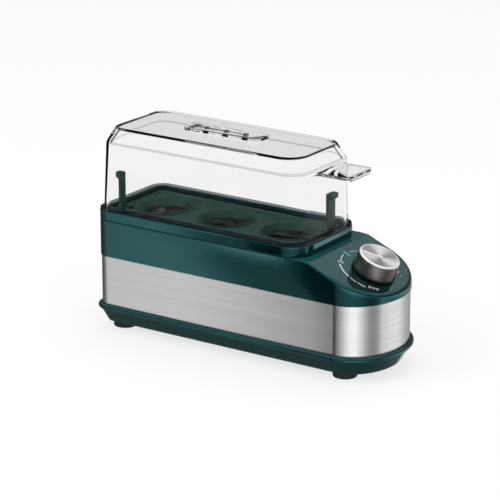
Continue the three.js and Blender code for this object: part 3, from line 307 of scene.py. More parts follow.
def softened(profile, radius, steps=4, closed=False):
    """Rounds a profile's corners. A third number in a point is that corner's own radius. A further
    point on each side of a corner keeps the flats between the corners flat in the shading."""
    most_of_side = 0.38
    hold = 1.3
    count = len(profile)
    points = [] if closed else [profile[0][:2]]
    for i in range(0 if closed else 1, count if closed else count - 1):
        corner = Vector(profile[i][:2])
        back = Vector(profile[i - 1][:2]) - corner
        ahead = Vector(profile[(i + 1) % count][:2]) - corner
        reach = profile[i][2] if len(profile[i]) > 2 else radius
        cut = min(reach, most_of_side * back.length, most_of_side * ahead.length)
        if cut < 1e-3:
            points.append(tuple(corner))
            continue
        back.normalize()
        ahead.normalize()
        points.append(tuple(corner + hold * cut * back))
        for k in range(steps + 1):
            t = k / steps
            points.append(tuple(corner + cut * (1 - t) ** 2 * back + cut * t ** 2 * ahead))
        points.append(tuple(corner + hold * cut * ahead))
    return points if closed else points + [profile[-1][:2]]


def meshed(name, points, faces, corners):
    """A piece at the origin from points in millimetres, with a UV pair for each face corner."""
    mesh = bpy.data.meshes.new(name)
    mesh.from_pydata([p * MM for p in points], [], faces)
    layer = mesh.uv_layers.new(name="laid_out")
    layer.data.foreach_set("uv", [value * MM for pair in corners for value in pair])
    body = bmesh.new()
    body.from_mesh(mesh)
    bmesh.ops.recalc_face_normals(body, faces=body.faces)
    body.to_mesh(mesh)
    body.free()
    return placed(name, mesh)


def skinned(name, rings, loop=False):
    """Skins a row of rings, and closes both ends, or joins the last ring to the first."""
    count = len(rings[0])
    points = [p for one in rings for p in one]
    around = [0.0]
    widest = max(rings, key=lambda one: sum((a - b).length for a, b in zip(one, one[1:])))
    for i in range(count):
        around.append(around[-1] + (widest[(i + 1) % count] - widest[i]).length)
    along = [0.0]
    for i in range(len(rings)):
        along.append(along[-1] + (rings[(i + 1) % len(rings)][0] - rings[i][0]).length)
    faces = []
    corners = []
    for row in range(len(rings) if loop else len(rings) - 1):
        low, high = row * count, (row + 1) % len(rings) * count
        for i in range(count):
            j = (i + 1) % count
            faces.append((low + i, low + j, high + j, high + i))
            quad = ((i, row), (i + 1, row), (i + 1, row + 1), (i, row + 1))
            corners += [(around[step], along[reach]) for step, reach in quad]
    if not loop:
        top = (len(rings) - 1) * count
        for i in range(count // 2):
            far = count - 1 - i
            if i + 1 < far:
                strip = [i, far, far - 1, i + 1] if i + 1 < far - 1 else [i, far, i + 1]
                faces += [tuple(strip), tuple(top + k for k in reversed(strip))]
                corners += [points[k][:2] for k in strip]
                corners += [points[top + k][:2] for k in reversed(strip)]
    return meshed(name, points, faces, corners)


def turned(name, profile, steps):
    """A turned piece: a profile of radius and height round Z. It ends on the axis or where it began.
    Round the piece, its UV runs from 0 to turned_uv."""
    points = []
    rows = []
    along = [0.0]
    for k, (radius, height) in enumerate(profile):
        first = len(points)
        if k and profile[k] == profile[0]:
            rows.append(rows[0])
        elif radius < 1e-6:
            points.append(Vector((0, 0, height)))
            rows.append([first] * steps)
        else:
            for i in range(steps):
                turn = 2 * pi * i / steps
                points.append(Vector((radius * cos(turn), radius * sin(turn), height)))
            rows.append(list(range(first, first + steps)))
        if k:
            along.append(along[-1] + (Vector(profile[k]) - Vector(profile[k - 1])).length)
    faces = []
    corners = []
    for low, high, start, end in zip(rows, rows[1:], along, along[1:]):
        for i in range(steps):
            j = (i + 1) % steps
            quad = [(low[i], i, start), (low[j], i + 1, start), (high[j], i + 1, end), (high[i], i, end)]
            kept = [quad[k] for k in range(4) if quad[k][0] != quad[k - 1][0]]
            faces.append(tuple(point for point, _, _ in kept))
            corners += [(step * turned_uv / steps, reach) for _, step, reach in kept]
    return meshed(name, points, faces, corners)


def settled(name, body):
    """Makes a piece of an editing mesh."""
    mesh = bpy.data.meshes.new(name)
    body.to_mesh(mesh)
    body.free()
    return placed(name, mesh)


def slab(name, outline, bottom, top, edge=0.0):
    """An outline raised from one height to another, with rims rounded by an edge radius."""
    body = bmesh.new()
    base = body.faces.new([body.verts.new((x * MM, y * MM, bottom * MM)) for x, y in outline])
    raised_part = bmesh.ops.extrude_face_region(body, geom=[base])["geom"]
    lifted = [v for v in raised_part if isinstance(v, bmesh.types.BMVert)]
    bmesh.ops.translate(body, verts=lifted, vec=(0, 0, (top - bottom) * MM))
    bmesh.ops.recalc_face_normals(body, faces=body.faces)
    if edge:
        rims = [e for e in body.edges if abs(e.verts[0].co.z - e.verts[1].co.z) < 1e-7]
        bmesh.ops.bevel(body, geom=rims, offset=edge * MM, segments=3, profile=0.5, affect="EDGES",
                        clamp_overlap=True)
    return settled(name, body)


def rounded_rectangle(length, width, radius):
    a, b = length / 2 - radius, width / 2 - radius
    corners = [(a, b, 0), (-a, b, 90), (-a, -b, 180), (a, -b, 270)]
    return [point for x, y, start in corners for point in arc(x, y, radius, start, start + 90, 8)]


def rod(name, radius, bottom, top, steps=48):
    return turned(name, [(0, bottom), (radius, bottom), (radius, top), (0, top)], steps)


def moved(piece, matrix):
    """Turns and shifts a piece's mesh. Its object stays at the origin."""
    piece.data.transform(matrix)
    return piece


def at(x, y, z):
    return Matrix.Translation(Vector((x, y, z)) * MM)


def rods(name, radius, bottom, top, spots):
    """An upright rod on each spot."""
    return [moved(rod(name, radius, bottom, top), at(x, y, 0)) for x, y in spots]


def final_mesh(piece):
    """The plain mesh that a piece's modifiers or letters make."""
    depsgraph = bpy.context.evaluated_depsgraph_get()
    depsgraph.update()
    return bpy.data.meshes.new_from_object(piece.evaluated_get(depsgraph))


def baked(piece):
    mesh = final_mesh(piece)
    piece.modifiers.clear()
    piece.data = mesh
    return piece


def worked(piece, operation, tools):
    """Joins closed pieces to another one, or cuts them out of it, and clears them away."""
    for tool in tools:
        change = piece.modifiers.new("work", "BOOLEAN")
        change.operation = operation
        change.solver = "MANIFOLD"
        change.object = tool
    baked(piece)
    for tool in tools:
        bpy.data.objects.remove(tool)
    return piece


set_out = bpy.data.node_groups.new("set_out", "GeometryNodeTree")
for socket_name, kind in (("Pattern", "Object"), ("Columns", "Int"), ("Rows", "Int"), ("First", "Vector"),
                          ("Column pitch", "Float"), ("Row pitch", "Float")):
    set_out.interface.new_socket(socket_name, in_out="INPUT", socket_type=f"NodeSocket{kind}")
set_out.interface.new_socket("Geometry", in_out="OUTPUT", socket_type="NodeSocketGeometry")
plan = Wiring(set_out)
given = plan.node("NodeGroupInput", output="Pattern")
row = plan.node("GeometryNodeMeshLine", sockets={
    "Count": given.output("Columns"), "Start Location": given.output("First"),
    "Offset": plan.node("ShaderNodeCombineXYZ", sockets={0: given.output("Column pitch")}),
})
column = plan.node("GeometryNodeMeshLine", sockets={
    "Count": given.output("Rows"),
    "Offset": plan.node("ShaderNodeCombineXYZ", sockets={1: given.output("Row pitch")}),
})
spots = plan.node("GeometryNodeRealizeInstances", sockets={
    0: plan.node("GeometryNodeInstanceOnPoints", sockets={"Points": column, "Instance": row}),
})
source = plan.node("GeometryNodeObjectInfo", sockets={"Object": given}, output="Geometry")
copies = plan.node("GeometryNodeInstanceOnPoints", sockets={"Points": spots, "Instance": source})
plan.node("NodeGroupOutput", sockets={0: plan.node("GeometryNodeRealizeInstances", sockets={0: copies})})


def repeated(name, pattern, first, columns, column_pitch, rows=1, row_pitch=0):
    """Copies of a pattern piece in rows and columns, set out by Geometry Nodes."""
    made = placed(name, bpy.data.meshes.new(name))
    layout = made.modifiers.new("set_out", "NODES")
    layout.node_group = set_out
    values = {"Pattern": pattern, "Columns": columns, "Rows": rows, "First": Vector(first) * MM,
              "Column pitch": column_pitch * MM, "Row pitch": row_pitch * MM}
    for item in set_out.interface.items_tree:
        if item.in_out == "INPUT":
            layout[item.identifier] = values[item.name]
    baked(made)
    bpy.data.objects.remove(pattern)
    return made


def dressed(piece, finish, body, replaced=(), sharp=32):
    """Gives a finished piece its material, shading and body, and the nodes that it stands for."""
    piece.data.materials.clear()
    piece.data.materials.append(finish)
    piece.data.shade_smooth()
    piece.data.set_sharp_from_angle(angle=radians(sharp))
    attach(piece, body)
    if replaced:
        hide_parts(*replaced)
    return piece


def surface(name, steady, varying, by_uv=False):
    """A material: steady values of its shader's sockets, and what a function wires to the rest. By
    UV it shows fine lines, and the highlights run across them."""
    material, finish = painted(name)
    if by_uv:
        place = finish.node("ShaderNodeUVMap", {"uv_map": "laid_out"})
        steady = {**steady, "Anisotropic Rotation": 0.25}
    else:
        place = finish.node("ShaderNodeTexCoord", output="Object")
    shader = finish.node("ShaderNodeBsdfPrincipled", sockets={**steady, **varying(finish, place)})
    finish.node("ShaderNodeOutputMaterial", sockets={"Surface": shader})
    return material


def tinted(finish, factor, dark, light):
    """A colour between two, by a factor."""
    return finish.node("ShaderNodeMix", {"data_type": "RGBA"}, {
        0: factor, 6: (*dark, 1), 7: (*light, 1),
    }, output=2)


def speckle(finish, place, scale, detail=3.0, roughness=0.55):
    return finish.node("ShaderNodeTexNoise", sockets={
        "Vector": place, "Scale": scale, "Detail": detail, "Roughness": roughness,
    })


def bumped(finish, relief, strength, distance):
    return finish.node("ShaderNodeBump", sockets={
        "Height": relief, "Strength": strength, "Distance": distance,
    })


def mottled(dark, light, least, added, noise, bump=None, fine=None):
    """A finish whose colour and roughness follow one noise, and its relief the same or a finer one."""
    def varying(finish, place):
        cloud = speckle(finish, place, *noise)
        wired = {"Base Color": tinted(finish, cloud, dark, light), "Roughness": cloud * added + least}
        if bump:
            wired["Normal"] = bumped(finish, speckle(finish, place, *fine) if fine else cloud, *bump)
        return wired
    return varying


green_gloss = mottled((0.0095, 0.088, 0.092), (0.0115, 0.1, 0.104), least=0.06, added=0.03,
                      noise=(26,), bump=(0.035, 0.0004), fine=(620, 1))
green_plastic = surface("green_plastic", {
    "Metallic": 0.92, "Coat Weight": 0.45, "Coat Roughness": 0.05, "IOR": 1.5,
}, green_gloss)

lip = [(inset, z, 0) for inset, z in arc(-0.4, 15.2, -1.8, -90, 90, 16, 1.9)]
pan_profile = softened([
    (7.0, pan_bottom), (4.8, pan_bottom, 0.8), (3.8, 5.8, 0.8), *lip, (3.0, pan_top, 0.2), (3.0, 22.6),
    (4.8, 22.6), (4.8, 13.3, 0.6), (7.0, 8.0, 0.9), (8.6, pan_floor, 0.9), (10.5, pan_floor),
], 0.4)
pan = skinned("pan", [ring(body_half(inset), z) for inset, z in pan_profile])
wells = rods("well", well_radius + well_wall, pan_floor - 1.1, well_top, well_spots)
peg = rods("peg", peg_radius, pan_floor - 1.1, peg_top, [peg_spot])
worked(pan, "UNION", wells + peg)
bores = [moved(turned("bore", softened([
    (0, pan_bottom - 1), (well_radius + 0.5, pan_bottom - 1), (well_radius + 0.5, pan_bottom),
    (well_radius, 4.7, 0), (well_radius, well_seat, 0.2), (screw_hole, well_seat, 0),
    (screw_hole, well_top + 1, 0), (0, well_top + 1),
], 0), 48), at(x, y, 0)) for x, y in well_spots]
stems = rods("stem", stem_hole, pan_bottom - 1, pan_floor + 1, foot_spots)
slot_cutter = slab("slot", rounded_rectangle(2.4, 26, 1.19), pan_bottom - 1, pan_floor + 1)
slots = repeated("slots", slot_cutter, (slot_first, 0, 0), 5, slot_pitch)
peg_hole = rods("peg_hole", 1.3, pan_floor, 10.0, [peg_spot])
worked(pan, "DIFFERENCE", [*bores, *stems, slots, *peg_hole])
dressed(pan, green_plastic, "base", ["base_pan"])


# Feet: four round buttons of dark rubber with a ribbed underside. Each has a stem with a barb that
# is pressed through a hole in the pan's floor.
def on_four(name, pattern, spots, height=0):
    """A copy of a pattern piece on each of four spots at the corners of a rectangle."""
    (left, near), (right, _), (_, far) = spots[:3]
    return repeated(name, pattern, (left, near, height), 2, right - left, 2, far - near)


worn_rubber = mottled((0.006, 0.012, 0.012), (0.014, 0.024, 0.024), least=0.5, added=0.2,
                      noise=(900, 4, 0.7), bump=(0.25, 0.0003))
rubber = surface("foot_rubber", {"Specular IOR Level": 0.4}, worn_rubber)
foot_profile = softened([
    (0, 0.5), (2.2, 0.5), (2.6, 0), (3.6, 0), (4.0, 0.5), (4.8, 0.5), (5.2, 0), (7.8, 0, 1.2),
    (7.8, 4.1, 0.3), (2.6, 4.1, 0), (2.6, 6.5, 0), (3.5, 6.5, 0.1), (2.6, 8.8), (0, 8.8),
], 0.2, 5)
feet = on_four("feet", turned("foot", foot_profile, 64), foot_spots)
dressed(feet, rubber, "base", [
    "foot_front_left", "foot_front_right", "foot_rear_left", "foot_rear_right",
])


# Base screws: zinc-plated pan heads with a cross recess, driven up through the wells of the pan
# into the housing's posts.
thread_core = 1.28
thread_depth = 0.2
half_pitch = 0.45
recess_length = 3.0
recess_width = 0.7
screw_height = 7.9

zinc = surface("zinc_steel", {"Metallic": 1.0}, mottled(
    (0.42, 0.43, 0.44), (0.58, 0.59, 0.6), least=0.3, added=0.2, noise=(700, 4, 0.7),
    bump=(0.1, 0.0002)))
screw_turns = [(thread_core + thread_depth * (k % 2), half_pitch * k, 0) for k in range(2, 29)]
screw = turned("screw", softened([
    (0, -2.1), (1.9, -2.0, 0.5), (2.8, -1.2, 0.5), (2.8, 0, 0.15), (1.5, 0, 0), *screw_turns, (0, 14.0),
], 0.2), 40)
recess, recess_across = [slab("recess", rounded_rectangle(*size, 0.15), -3.0, -0.9) for size in (
    (recess_length, recess_width), (recess_width, recess_length))]
worked(screw, "DIFFERENCE", [worked(recess, "UNION", [recess_across])])
base_screws = on_four("base_screws", screw, well_spots, screw_height)
dressed(base_screws, zinc, "base", [f"base_screw_{i}" for i in (1, 2, 3, 4)])


# Steel band: one strip of stainless sheet, brushed along its length, bent round the housing with
# its two ends butted at the back.
band_inset = 0.54
sheet = 0.6
band_bottom = 17.2
band_top = 49.8
seam_gap = 0.4
gland_x = -87.0
gland_z = 33.0
gland_bore = 5.4
collar_middle = left_end + collar_length / 2


def drawn_out(finish, place, along, across, detail, roughness):
    """A noise that is stretched into fine lines."""
    stretched = finish.node("ShaderNodeMapping", sockets={"Vector": place, "Scale": (along, across, 1.0)})
    return speckle(finish, stretched, 1.0, detail, roughness)


def brushed(finish, laid_out):
    hairs = drawn_out(finish, laid_out, 5.0, 2600.0, 3.0, 0.6)
    streaks = drawn_out(finish, laid_out, 2.0, 420.0, 2.0, 0.5)
    blend = hairs * 0.55 + streaks * 0.45
    return {
        "Base Color": tinted(finish, blend, (0.54, 0.54, 0.545), (0.92, 0.92, 0.925)),
        "Roughness": blend * 0.16 + 0.13,
        "Normal": bumped(finish, blend, 0.05, 0.0002),
    }


band_steel = surface("band_steel", {"Metallic": 1.0, "Anisotropic": 0.85}, brushed, by_uv=True)
band_profile = softened([
    (band_inset, band_bottom), (band_inset, band_top),
    (band_inset + sheet, band_top), (band_inset + sheet, band_bottom),
], 0.14, 3, closed=True)
band = skinned("band", [ring(body_half(inset), z) for inset, z in band_profile], loop=True)
seam = slab("seam", rounded_rectangle(seam_gap, 4, 0.05), band_bottom - 1, band_top + 1)
gland_frame = at(gland_x, half_width, gland_z) @ Matrix.Rotation(radians(-90), 4, "X")
gland_hole = moved(rod("gland_hole", gland_bore, -8, 8), gland_frame)
worked(band, "DIFFERENCE", [moved(seam, at(collar_middle, half_width, 0)), gland_hole])
dressed(band, band_steel, "base", ["steel_band"])


# Gland: a black rubber bush pressed through the band and the housing at the back. A barb on its
# sleeve holds it behind the housing's wall.
gland_rubber = surface("gland_rubber", {"Specular IOR Level": 0.4}, worn_rubber)
gland_loop = softened([
    (3.6, 1.96, 0.3), (5.1, 1.96, 0.4), (5.2, 1.06), (7.2, 1.06, 0.5), (7.2, -0.44), (5.1, -0.44, 0),
    (5.1, -2.8, 0), (6.45, -2.8, 0.2), (5.1, -5.8, 0.2), (3.6, -5.8, 0.2),
], 0.1, closed=True)
gland = turned("gland", gland_loop + gland_loop[:1], 64)
dressed(moved(gland, gland_frame), gland_rubber, "base", ["cord_gland"])


# Upper housing: the main moulding, in the same glossy green. Its flat top carries the collar, its
# skirt runs down inside the band, and over the nose it falls away as a sloped control deck.
housing_bottom = 49.9
housing_top = 74.1
housing_wall = 2.7
roof = 2.4
deck_tilt = radians(23)
knob_x = 84.58
edge_least = 0.4
edge_growth = 1.6
edge_reach = 2
collar_corner = 15.5
opening_inset = 10.1
post_radius = 3.6
post_bottom = 10.1
post_top = 45
rib_bottom = 22.8
rib_reach = 9
deck_screw_side = 8


def deck_top(x):
    return housing_top - max(x - crease, 0) * tan(deck_tilt)


def edge_radius(x):
    share = min(max((x - collar_end) / crease_gap, 0), 1)
    return edge_least + edge_growth * share


def edge_ring(angle, beyond=0.0):
    """A ring of the deck's rounded edge, nearly sharp beside the collar and full over the nose."""
    turn = radians(angle)
    half = []
    for (x, y), (inner_x, inner_y) in zip(body_half(0), body_half(edge_reach)):
        share = ((1 - cos(turn)) * edge_radius(x) + beyond) / edge_reach
        half.append((x + (inner_x - x) * share, y + (inner_y - y) * share))
    points = ring(half, 0)
    for p in points:
        p.z = deck_top(p.x) - edge_radius(p.x) * (1 - sin(turn))
    return points


def collar_half(inset):
    """The near half of the collar's outline, moved inwards by an inset."""
    radius = max(collar_corner - inset, least_corner)
    corner = arc(collar_end - inset - radius, inset - half_width + radius, radius, -90, 0, 14)
    return [*left_corner(inset), *corner]


deck_frame = at(knob_x, 0, deck_top(knob_x)) @ Matrix.Rotation(deck_tilt, 4, "Y")
housing = skinned("housing", [
    *[ring(body_half(inset), z) for inset, z in softened([
        (1.24, band_bottom), (1.24, housing_bottom, 0.1), (0, housing_bottom), (0, 50.6)], 0.3)],
    *[edge_ring(angle) for angle in range(0, 91, 10)],
    edge_ring(90, 0.5),
])
inside = body_half(housing_wall)
cavity = skinned("cavity", [ring(inside, band_bottom - 1), ring(inside, lambda x: deck_top(x) - roof)])
posts = []
for x, y in well_spots:
    posts.append(moved(rod("post", post_radius, post_bottom, post_top), at(x, y, 0)))
    outwards = 1 if y > 0 else -1
    wall_y = y + outwards * rib_reach
    rib_outline = [(x - 1, y), (x + 1, y), (x + 1, wall_y), (x - 1, wall_y)]
    posts.append(slab("rib", rib_outline[::outwards], rib_bottom, post_top))
worked(housing, "DIFFERENCE", [cavity])
worked(housing, "UNION", posts)
opening_half = collar_half(opening_inset)
opening = skinned("opening", [ring(opening_half, z) for z in (housing_top - 5, housing_top + 1)])
shaft_hole = moved(rod("shaft_hole", 3.5, -5, 1), deck_frame)
deck_holes = [moved(rod("deck_hole", 1.7, -5, 1), deck_frame @ at(0, side, 0))
              for side in (-deck_screw_side, deck_screw_side)]
pilots = rods("pilot", 1.6, 9, 23, well_spots)
gland_way = moved(rod("gland_way", gland_bore, -8, 8), gland_frame)
worked(housing, "DIFFERENCE", [opening, shaft_hole, *deck_holes, *pilots, gland_way])
dressed(housing, green_plastic, "base", ["upper_housing"], sharp=38)
# The upward flat strips beside the collar get a copy of the green that mirrors less and shows more of its
# own colour, so the top looks lighter: painted light on the top.
green_flat_painted_light = surface("green_flat_painted_light", {
    "Metallic": 0.15, "Coat Weight": 0.3, "Coat Roughness": 0.05,
}, green_gloss)
housing.data.materials.append(green_flat_painted_light)
for face in housing.data.polygons:
    if face.normal.z > 0.985 and face.center.z > (housing_top - 0.5) * MM:
        face.material_index = 1


# Dial: plain marks printed on the deck round the knob in white and teal ink, a film a few
# hundredths of a millimetre thick.
ink_bottom = 0.0
ink_top = 0.06
reading_turn = radians(34)


def ink(colour):
    return mottled(tuple(0.8 * c for c in colour), colour, least=0.35, added=0.2, noise=(1500,))


white_ink = surface("white_ink", {}, ink((0.88, 0.92, 0.92)))
teal_ink = surface("teal_ink", {}, ink((0.05, 0.62, 0.6)))


def gathered(name, parts):
    """Several small pieces as one."""
    body = bmesh.new()
    for part in parts:
        body.from_mesh(part.data)
        bpy.data.objects.remove(part)
    return settled(name, body)


def curved_line(radius, width, start, end):
    """A printed arc round the knob, between two angles in degrees."""
    steps = max(2, int(abs(end - start) / 2))
    outer = arc(0, 0, radius + width / 2, start, end, steps)
    inner = arc(0, 0, radius - width / 2, end, start, steps)
    return slab("line", outer + inner, ink_bottom, ink_top)


def tick(angle, inner, outer, width):
    """A printed straight mark that points to the knob."""
    a = radians(angle)
    along = Vector((cos(a), sin(a)))
    across = Vector((-sin(a), cos(a))) * width / 2
    near, far = along * inner, along * outer
    return slab("tick", [near - across, far - across, far + across, near + across], ink_bottom, ink_top)


def oval_mark(angle, radius, size, width):
    """A small outline of an oval, blunter at its foot, standing towards the knob."""
    def outline(shrink):
        points = []
        for k in range(24):
            t = 2 * pi * k / 24
            r = size * (1 - 0.14 * sin(t)) - shrink
            points.append((radius + r * sin(t), 0.78 * r * cos(t)))
        return points
    mark = worked(slab("oval", outline(0), ink_bottom, ink_top), "DIFFERENCE",
                  [slab("oval_hole", outline(width), ink_bottom - 1, ink_top + 1)])
    return moved(mark, Matrix.Rotation(radians(angle), 4, "Z"))


def numeral(text, angle, radius, size):
    """A printed number that reads upright from the front."""
    letter = bpy.data.curves.new("numeral", "FONT")
    letter.body = text
    letter.size = size * MM
    letter.extrude = ink_top / 2 * MM
    letter.align_x = letter.align_y = "CENTER"
    drawn = placed("numeral", letter)
    mesh = final_mesh(drawn)
    bpy.data.objects.remove(drawn)
    a = radians(angle)
    spot = at(radius * cos(a), radius * sin(a), ink_top / 2)
    return moved(placed("numeral", mesh), spot @ Matrix.Rotation(reading_turn, 4, "Z"))


marks = gathered("dial_marks", [
    curved_line(21.2, 0.3, 155, 172),
    curved_line(21.5, 0.45, 190, 212),
    oval_mark(217, 21.8, 1.7, 0.4),
    curved_line(22.5, 0.8, 225, 257),
    tick(263, 22.1, 22.9, 0.8),
    curved_line(22.5, 0.45, 266, 274),
    *[tick(angle, 21.6, 23.3, 0.5) for angle in (278, 282, 285.5, 289)],
    *[oval_mark(angle, 20.6, 1.15, 0.35) for angle in (297, 304, 311)],
    numeral("1", 48, 18.6, 3.0),
    numeral("2", 61, 18.6, 3.0),
])
dressed(moved(marks, deck_frame), white_ink, "base")
dressed(moved(tick(182, 17.7, 23.5, 1.2), deck_frame), teal_ink, "base").name = "start_mark"


# Gasket and boiling dish: a silicone ring lies on the housing's top, and the dish hangs through the
# opening by its flange. The dish is pressed from stainless sheet, with soft corners.
def redressed(names, finish):
    """Gives CAD nodes that stay as they are a material of their own."""
    for name in names:
        holder = nodes[name].material_slots[0]
        holder.link = "OBJECT"
        holder.material = finish


dish_steel = surface("dish_steel", {"Metallic": 1.0}, mottled(
    (0.55, 0.55, 0.54), (0.78, 0.78, 0.77), least=0.16, added=0.2, noise=(55, 5, 0.6),
    bump=(0.05, 0.0002), fine=(800, 2)))
silicone = surface("silicone", {}, mottled(
    (0.4, 0.4, 0.39), (0.52, 0.52, 0.5), least=0.5, added=0.15, noise=(500,)))
dish_profile = softened([
    (16.0, 64.9), (13.0, 64.9, 2.4), (10.5, 74.1, 0.6), (10.5, 74.9), (6.9, 74.9), (6.9, 75.5),
    (10.8, 75.5, 0.5), (11.1, 74.3, 0.6), (13.6, 65.5, 2.2), (16.5, 65.5),
], 0.2)
dish = skinned("dish", [ring(collar_half(inset), z) for inset, z in dish_profile])
dressed(dish, dish_steel, "base", ["boiling_dish"])
redressed(["dish_gasket"], silicone)


# Collar: a ring in the same green plastic that stands on the housing with a fine seam under it. It
# clamps the dish, and its upstand centres the lid. Four screws hold it from inside the housing.
collar_loop = softened([
    (0.4, 74.2, 0.1), (0, 74.6, 0.15), (0, 80.9, 0.7), (5.1, 80.9, 0.25), (5.1, 82.4, 0.35),
    (6.6, 82.4, 0.35), (6.6, 76.6), (9.4, 76.6, 0.3), (9.4, 75.6), (6.6, 75.6, 0.1), (6.6, 74.2, 0.1),
    (3.2, 74.2, 0.1), (3.2, 79.0), (1.9, 79.0), (1.9, 74.2, 0.1),
], 0.2, closed=True)
collar = skinned("collar", [ring(collar_half(inset), z) for inset, z in collar_loop], loop=True)
dressed(collar, green_plastic, "base", ["heater_collar"])
redressed([f"collar_screw_{i}" for i in (1, 2, 3, 4)], zinc)


# Heater: an aluminium plate under the dish with a sheathed element held to it by two straps, and
# the boil-dry cut-outs: a ceramic thermostat and a sleeved thermal fuse in its clip.
plate_aluminium = surface("plate_aluminium", {"Metallic": 1.0}, mottled(
    (0.55, 0.55, 0.56), (0.72, 0.72, 0.73), least=0.35, added=0.25, noise=(350, 4, 0.6),
    bump=(0.2, 0.0003)))
steatite = surface("steatite", {}, mottled(
    (0.62, 0.58, 0.5), (0.76, 0.72, 0.64), least=0.4, added=0.3, noise=(420,)))
white_plastic = surface("white_plastic", {}, ink((0.8, 0.8, 0.78)))
redressed(["heater_plate"], plate_aluminium)
redressed(["heating_element"], zinc)
redressed(["element_strap_left", "element_strap_right", "strap_screw_left", "strap_screw_right"], zinc)
redressed(["element_pin_near", "element_pin_far", "fuse_clip"], dish_steel)
redressed(["thermostat"], steatite)
redressed(["thermal_fuse"], white_plastic)


# Regulator: the adjustable thermostat under the deck, a ceramic body hung from a zinc-plated plate
# by two screws. The steel shaft that turns it comes up through the deck, with a clip on it.
redressed(["regulator_bracket", "deck_screw_near", "deck_screw_far"], zinc)
redressed(["regulator"], steatite)
redressed(["control_shaft", "shaft_clip"], dish_steel)


# Wiring: a ceramic terminal block, screwed to the pan's peg, and five leads in coloured plastic
# sleeves that join it to the regulator, the cut-outs and the element.
redressed(["terminal_block"], steatite)
redressed(["block_screw"], zinc)
for wires, colour in (
    (["wire_block_regulator", "wire_regulator_thermostat"], (0.35, 0.03, 0.02)),
    (["wire_thermostat_element", "wire_element_fuse"], (0.7, 0.7, 0.68)),
    (["wire_fuse_block"], (0.03, 0.09, 0.3)),
):
    redressed(wires, surface(wires[0] + "_sleeve", {}, ink(colour)))


# Knob: a black moulded core on the shaft, a turned aluminium cap with a bright chamfer, and a white pointer
# let into the top. The cap's top, chamfer and side are copies of one aluminium, lit and shaded in their
# colours: painted fans of reflected light on the dished and spun top, a painted highlight on the chamfer and
# a painted dark reflection on the side.
cap_foot = 13.85
cap_head = 13.2
cap_rim = 12.3
knob_height = 12.0
dish_depth = 1.1
painted_fan_count = 3
painted_fan_start = radians(-12)
pointer_azimuth = radians(220.5)
pointer_sink = 0.1
pointer_rise = 0.42
pointer_half = 1.0


# The top's colour swings between dark and light in fans round the axis: painted fans of reflected light on
# the spun aluminium.
def spun_with_painted_fans(finish, laid_out):
    rings = drawn_out(finish, laid_out, 18.0, 5200.0, 2.0, 0.6)
    turn = finish.node("ShaderNodeSeparateXYZ", sockets={0: laid_out}) * (2 * pi / (turned_uv * MM))
    around = turn * painted_fan_count + painted_fan_start
    painted_fans = around.worked_out("COSINE", around) * 0.5 + 0.5
    return {
        "Base Color": tinted(finish, rings * 0.3 + painted_fans * 0.7, (0.2, 0.195, 0.2), (0.98, 0.98, 0.99)),
        "Roughness": rings * 0.1 + 0.12,
        "Normal": bumped(finish, rings, 0.06, 0.0002),
    }


# The side's colour is kept dark: a painted dark reflection, though the side is the same aluminium as the
# top.
def turned_with_painted_shade(finish, laid_out):
    rings = drawn_out(finish, laid_out, 30.0, 2600.0, 2.0, 0.6)
    return {
        "Base Color": tinted(finish, rings, (0.2, 0.185, 0.18), (0.3, 0.285, 0.28)),
        "Roughness": rings * 0.12 + 0.26,
    }


black_plastic = surface("black_plastic", {}, mottled(
    (0.008, 0.009, 0.009), (0.014, 0.015, 0.016), least=0.3, added=0.15, noise=(900,), bump=(0.08, 0.0002)))
spun_aluminium_painted_fans = surface("spun_aluminium_painted_fans", {"Metallic": 0.55, "Anisotropic": 0.9}, spun_with_painted_fans, by_uv=True)
# The chamfer is polished, and its near white, mostly unmetallic colour is a painted highlight.
polished_aluminium_painted_highlight = surface("polished_aluminium_painted_highlight", {"Metallic": 0.3}, mottled(
    (0.88, 0.88, 0.89), (0.96, 0.96, 0.97), least=0.2, added=0.06, noise=(300,)))
turned_aluminium_painted_shade = surface("turned_aluminium_painted_shade", {
    "Metallic": 1.0, "Anisotropic": 0.7,
}, turned_with_painted_shade, by_uv=True)


def dish_height(radius):
    return knob_height - dish_depth * (1 - abs(radius) / cap_rim)


core = turned("knob_base", softened([
    (0, 8.3), (3.3, 8.3, 0.1), (3.3, 2.4, 0.1), (5.5, 2.4), (5.5, 7.6, 0.3), (10.5, 7.6, 0.3),
    (11.25, 0.5, 0.1), (14.2, 0.5, 0.25), (14.2, 1.5, 0.25), (12.75, 1.5, 0.1), (12.0, 9.8), (0, 9.8),
], 0.2), 96)
dressed(moved(core, deck_frame), black_plastic, "knob", ["knob_core"])
cap = turned("knob_cover", softened([
    (0, 10.1), (12.3, 10.1, 0.2), (13.05, 1.8), (cap_foot, 1.8, 0.12), (cap_head, 11.2, 0.12),
    (cap_rim, knob_height, 0.25), (cap_rim - 0.35, knob_height - 0.12), (0, dish_height(0)),
], 0.1, 3), 160)
dressed(moved(cap, deck_frame), spun_aluminium_painted_fans, "knob", ["knob_cap"], sharp=24)
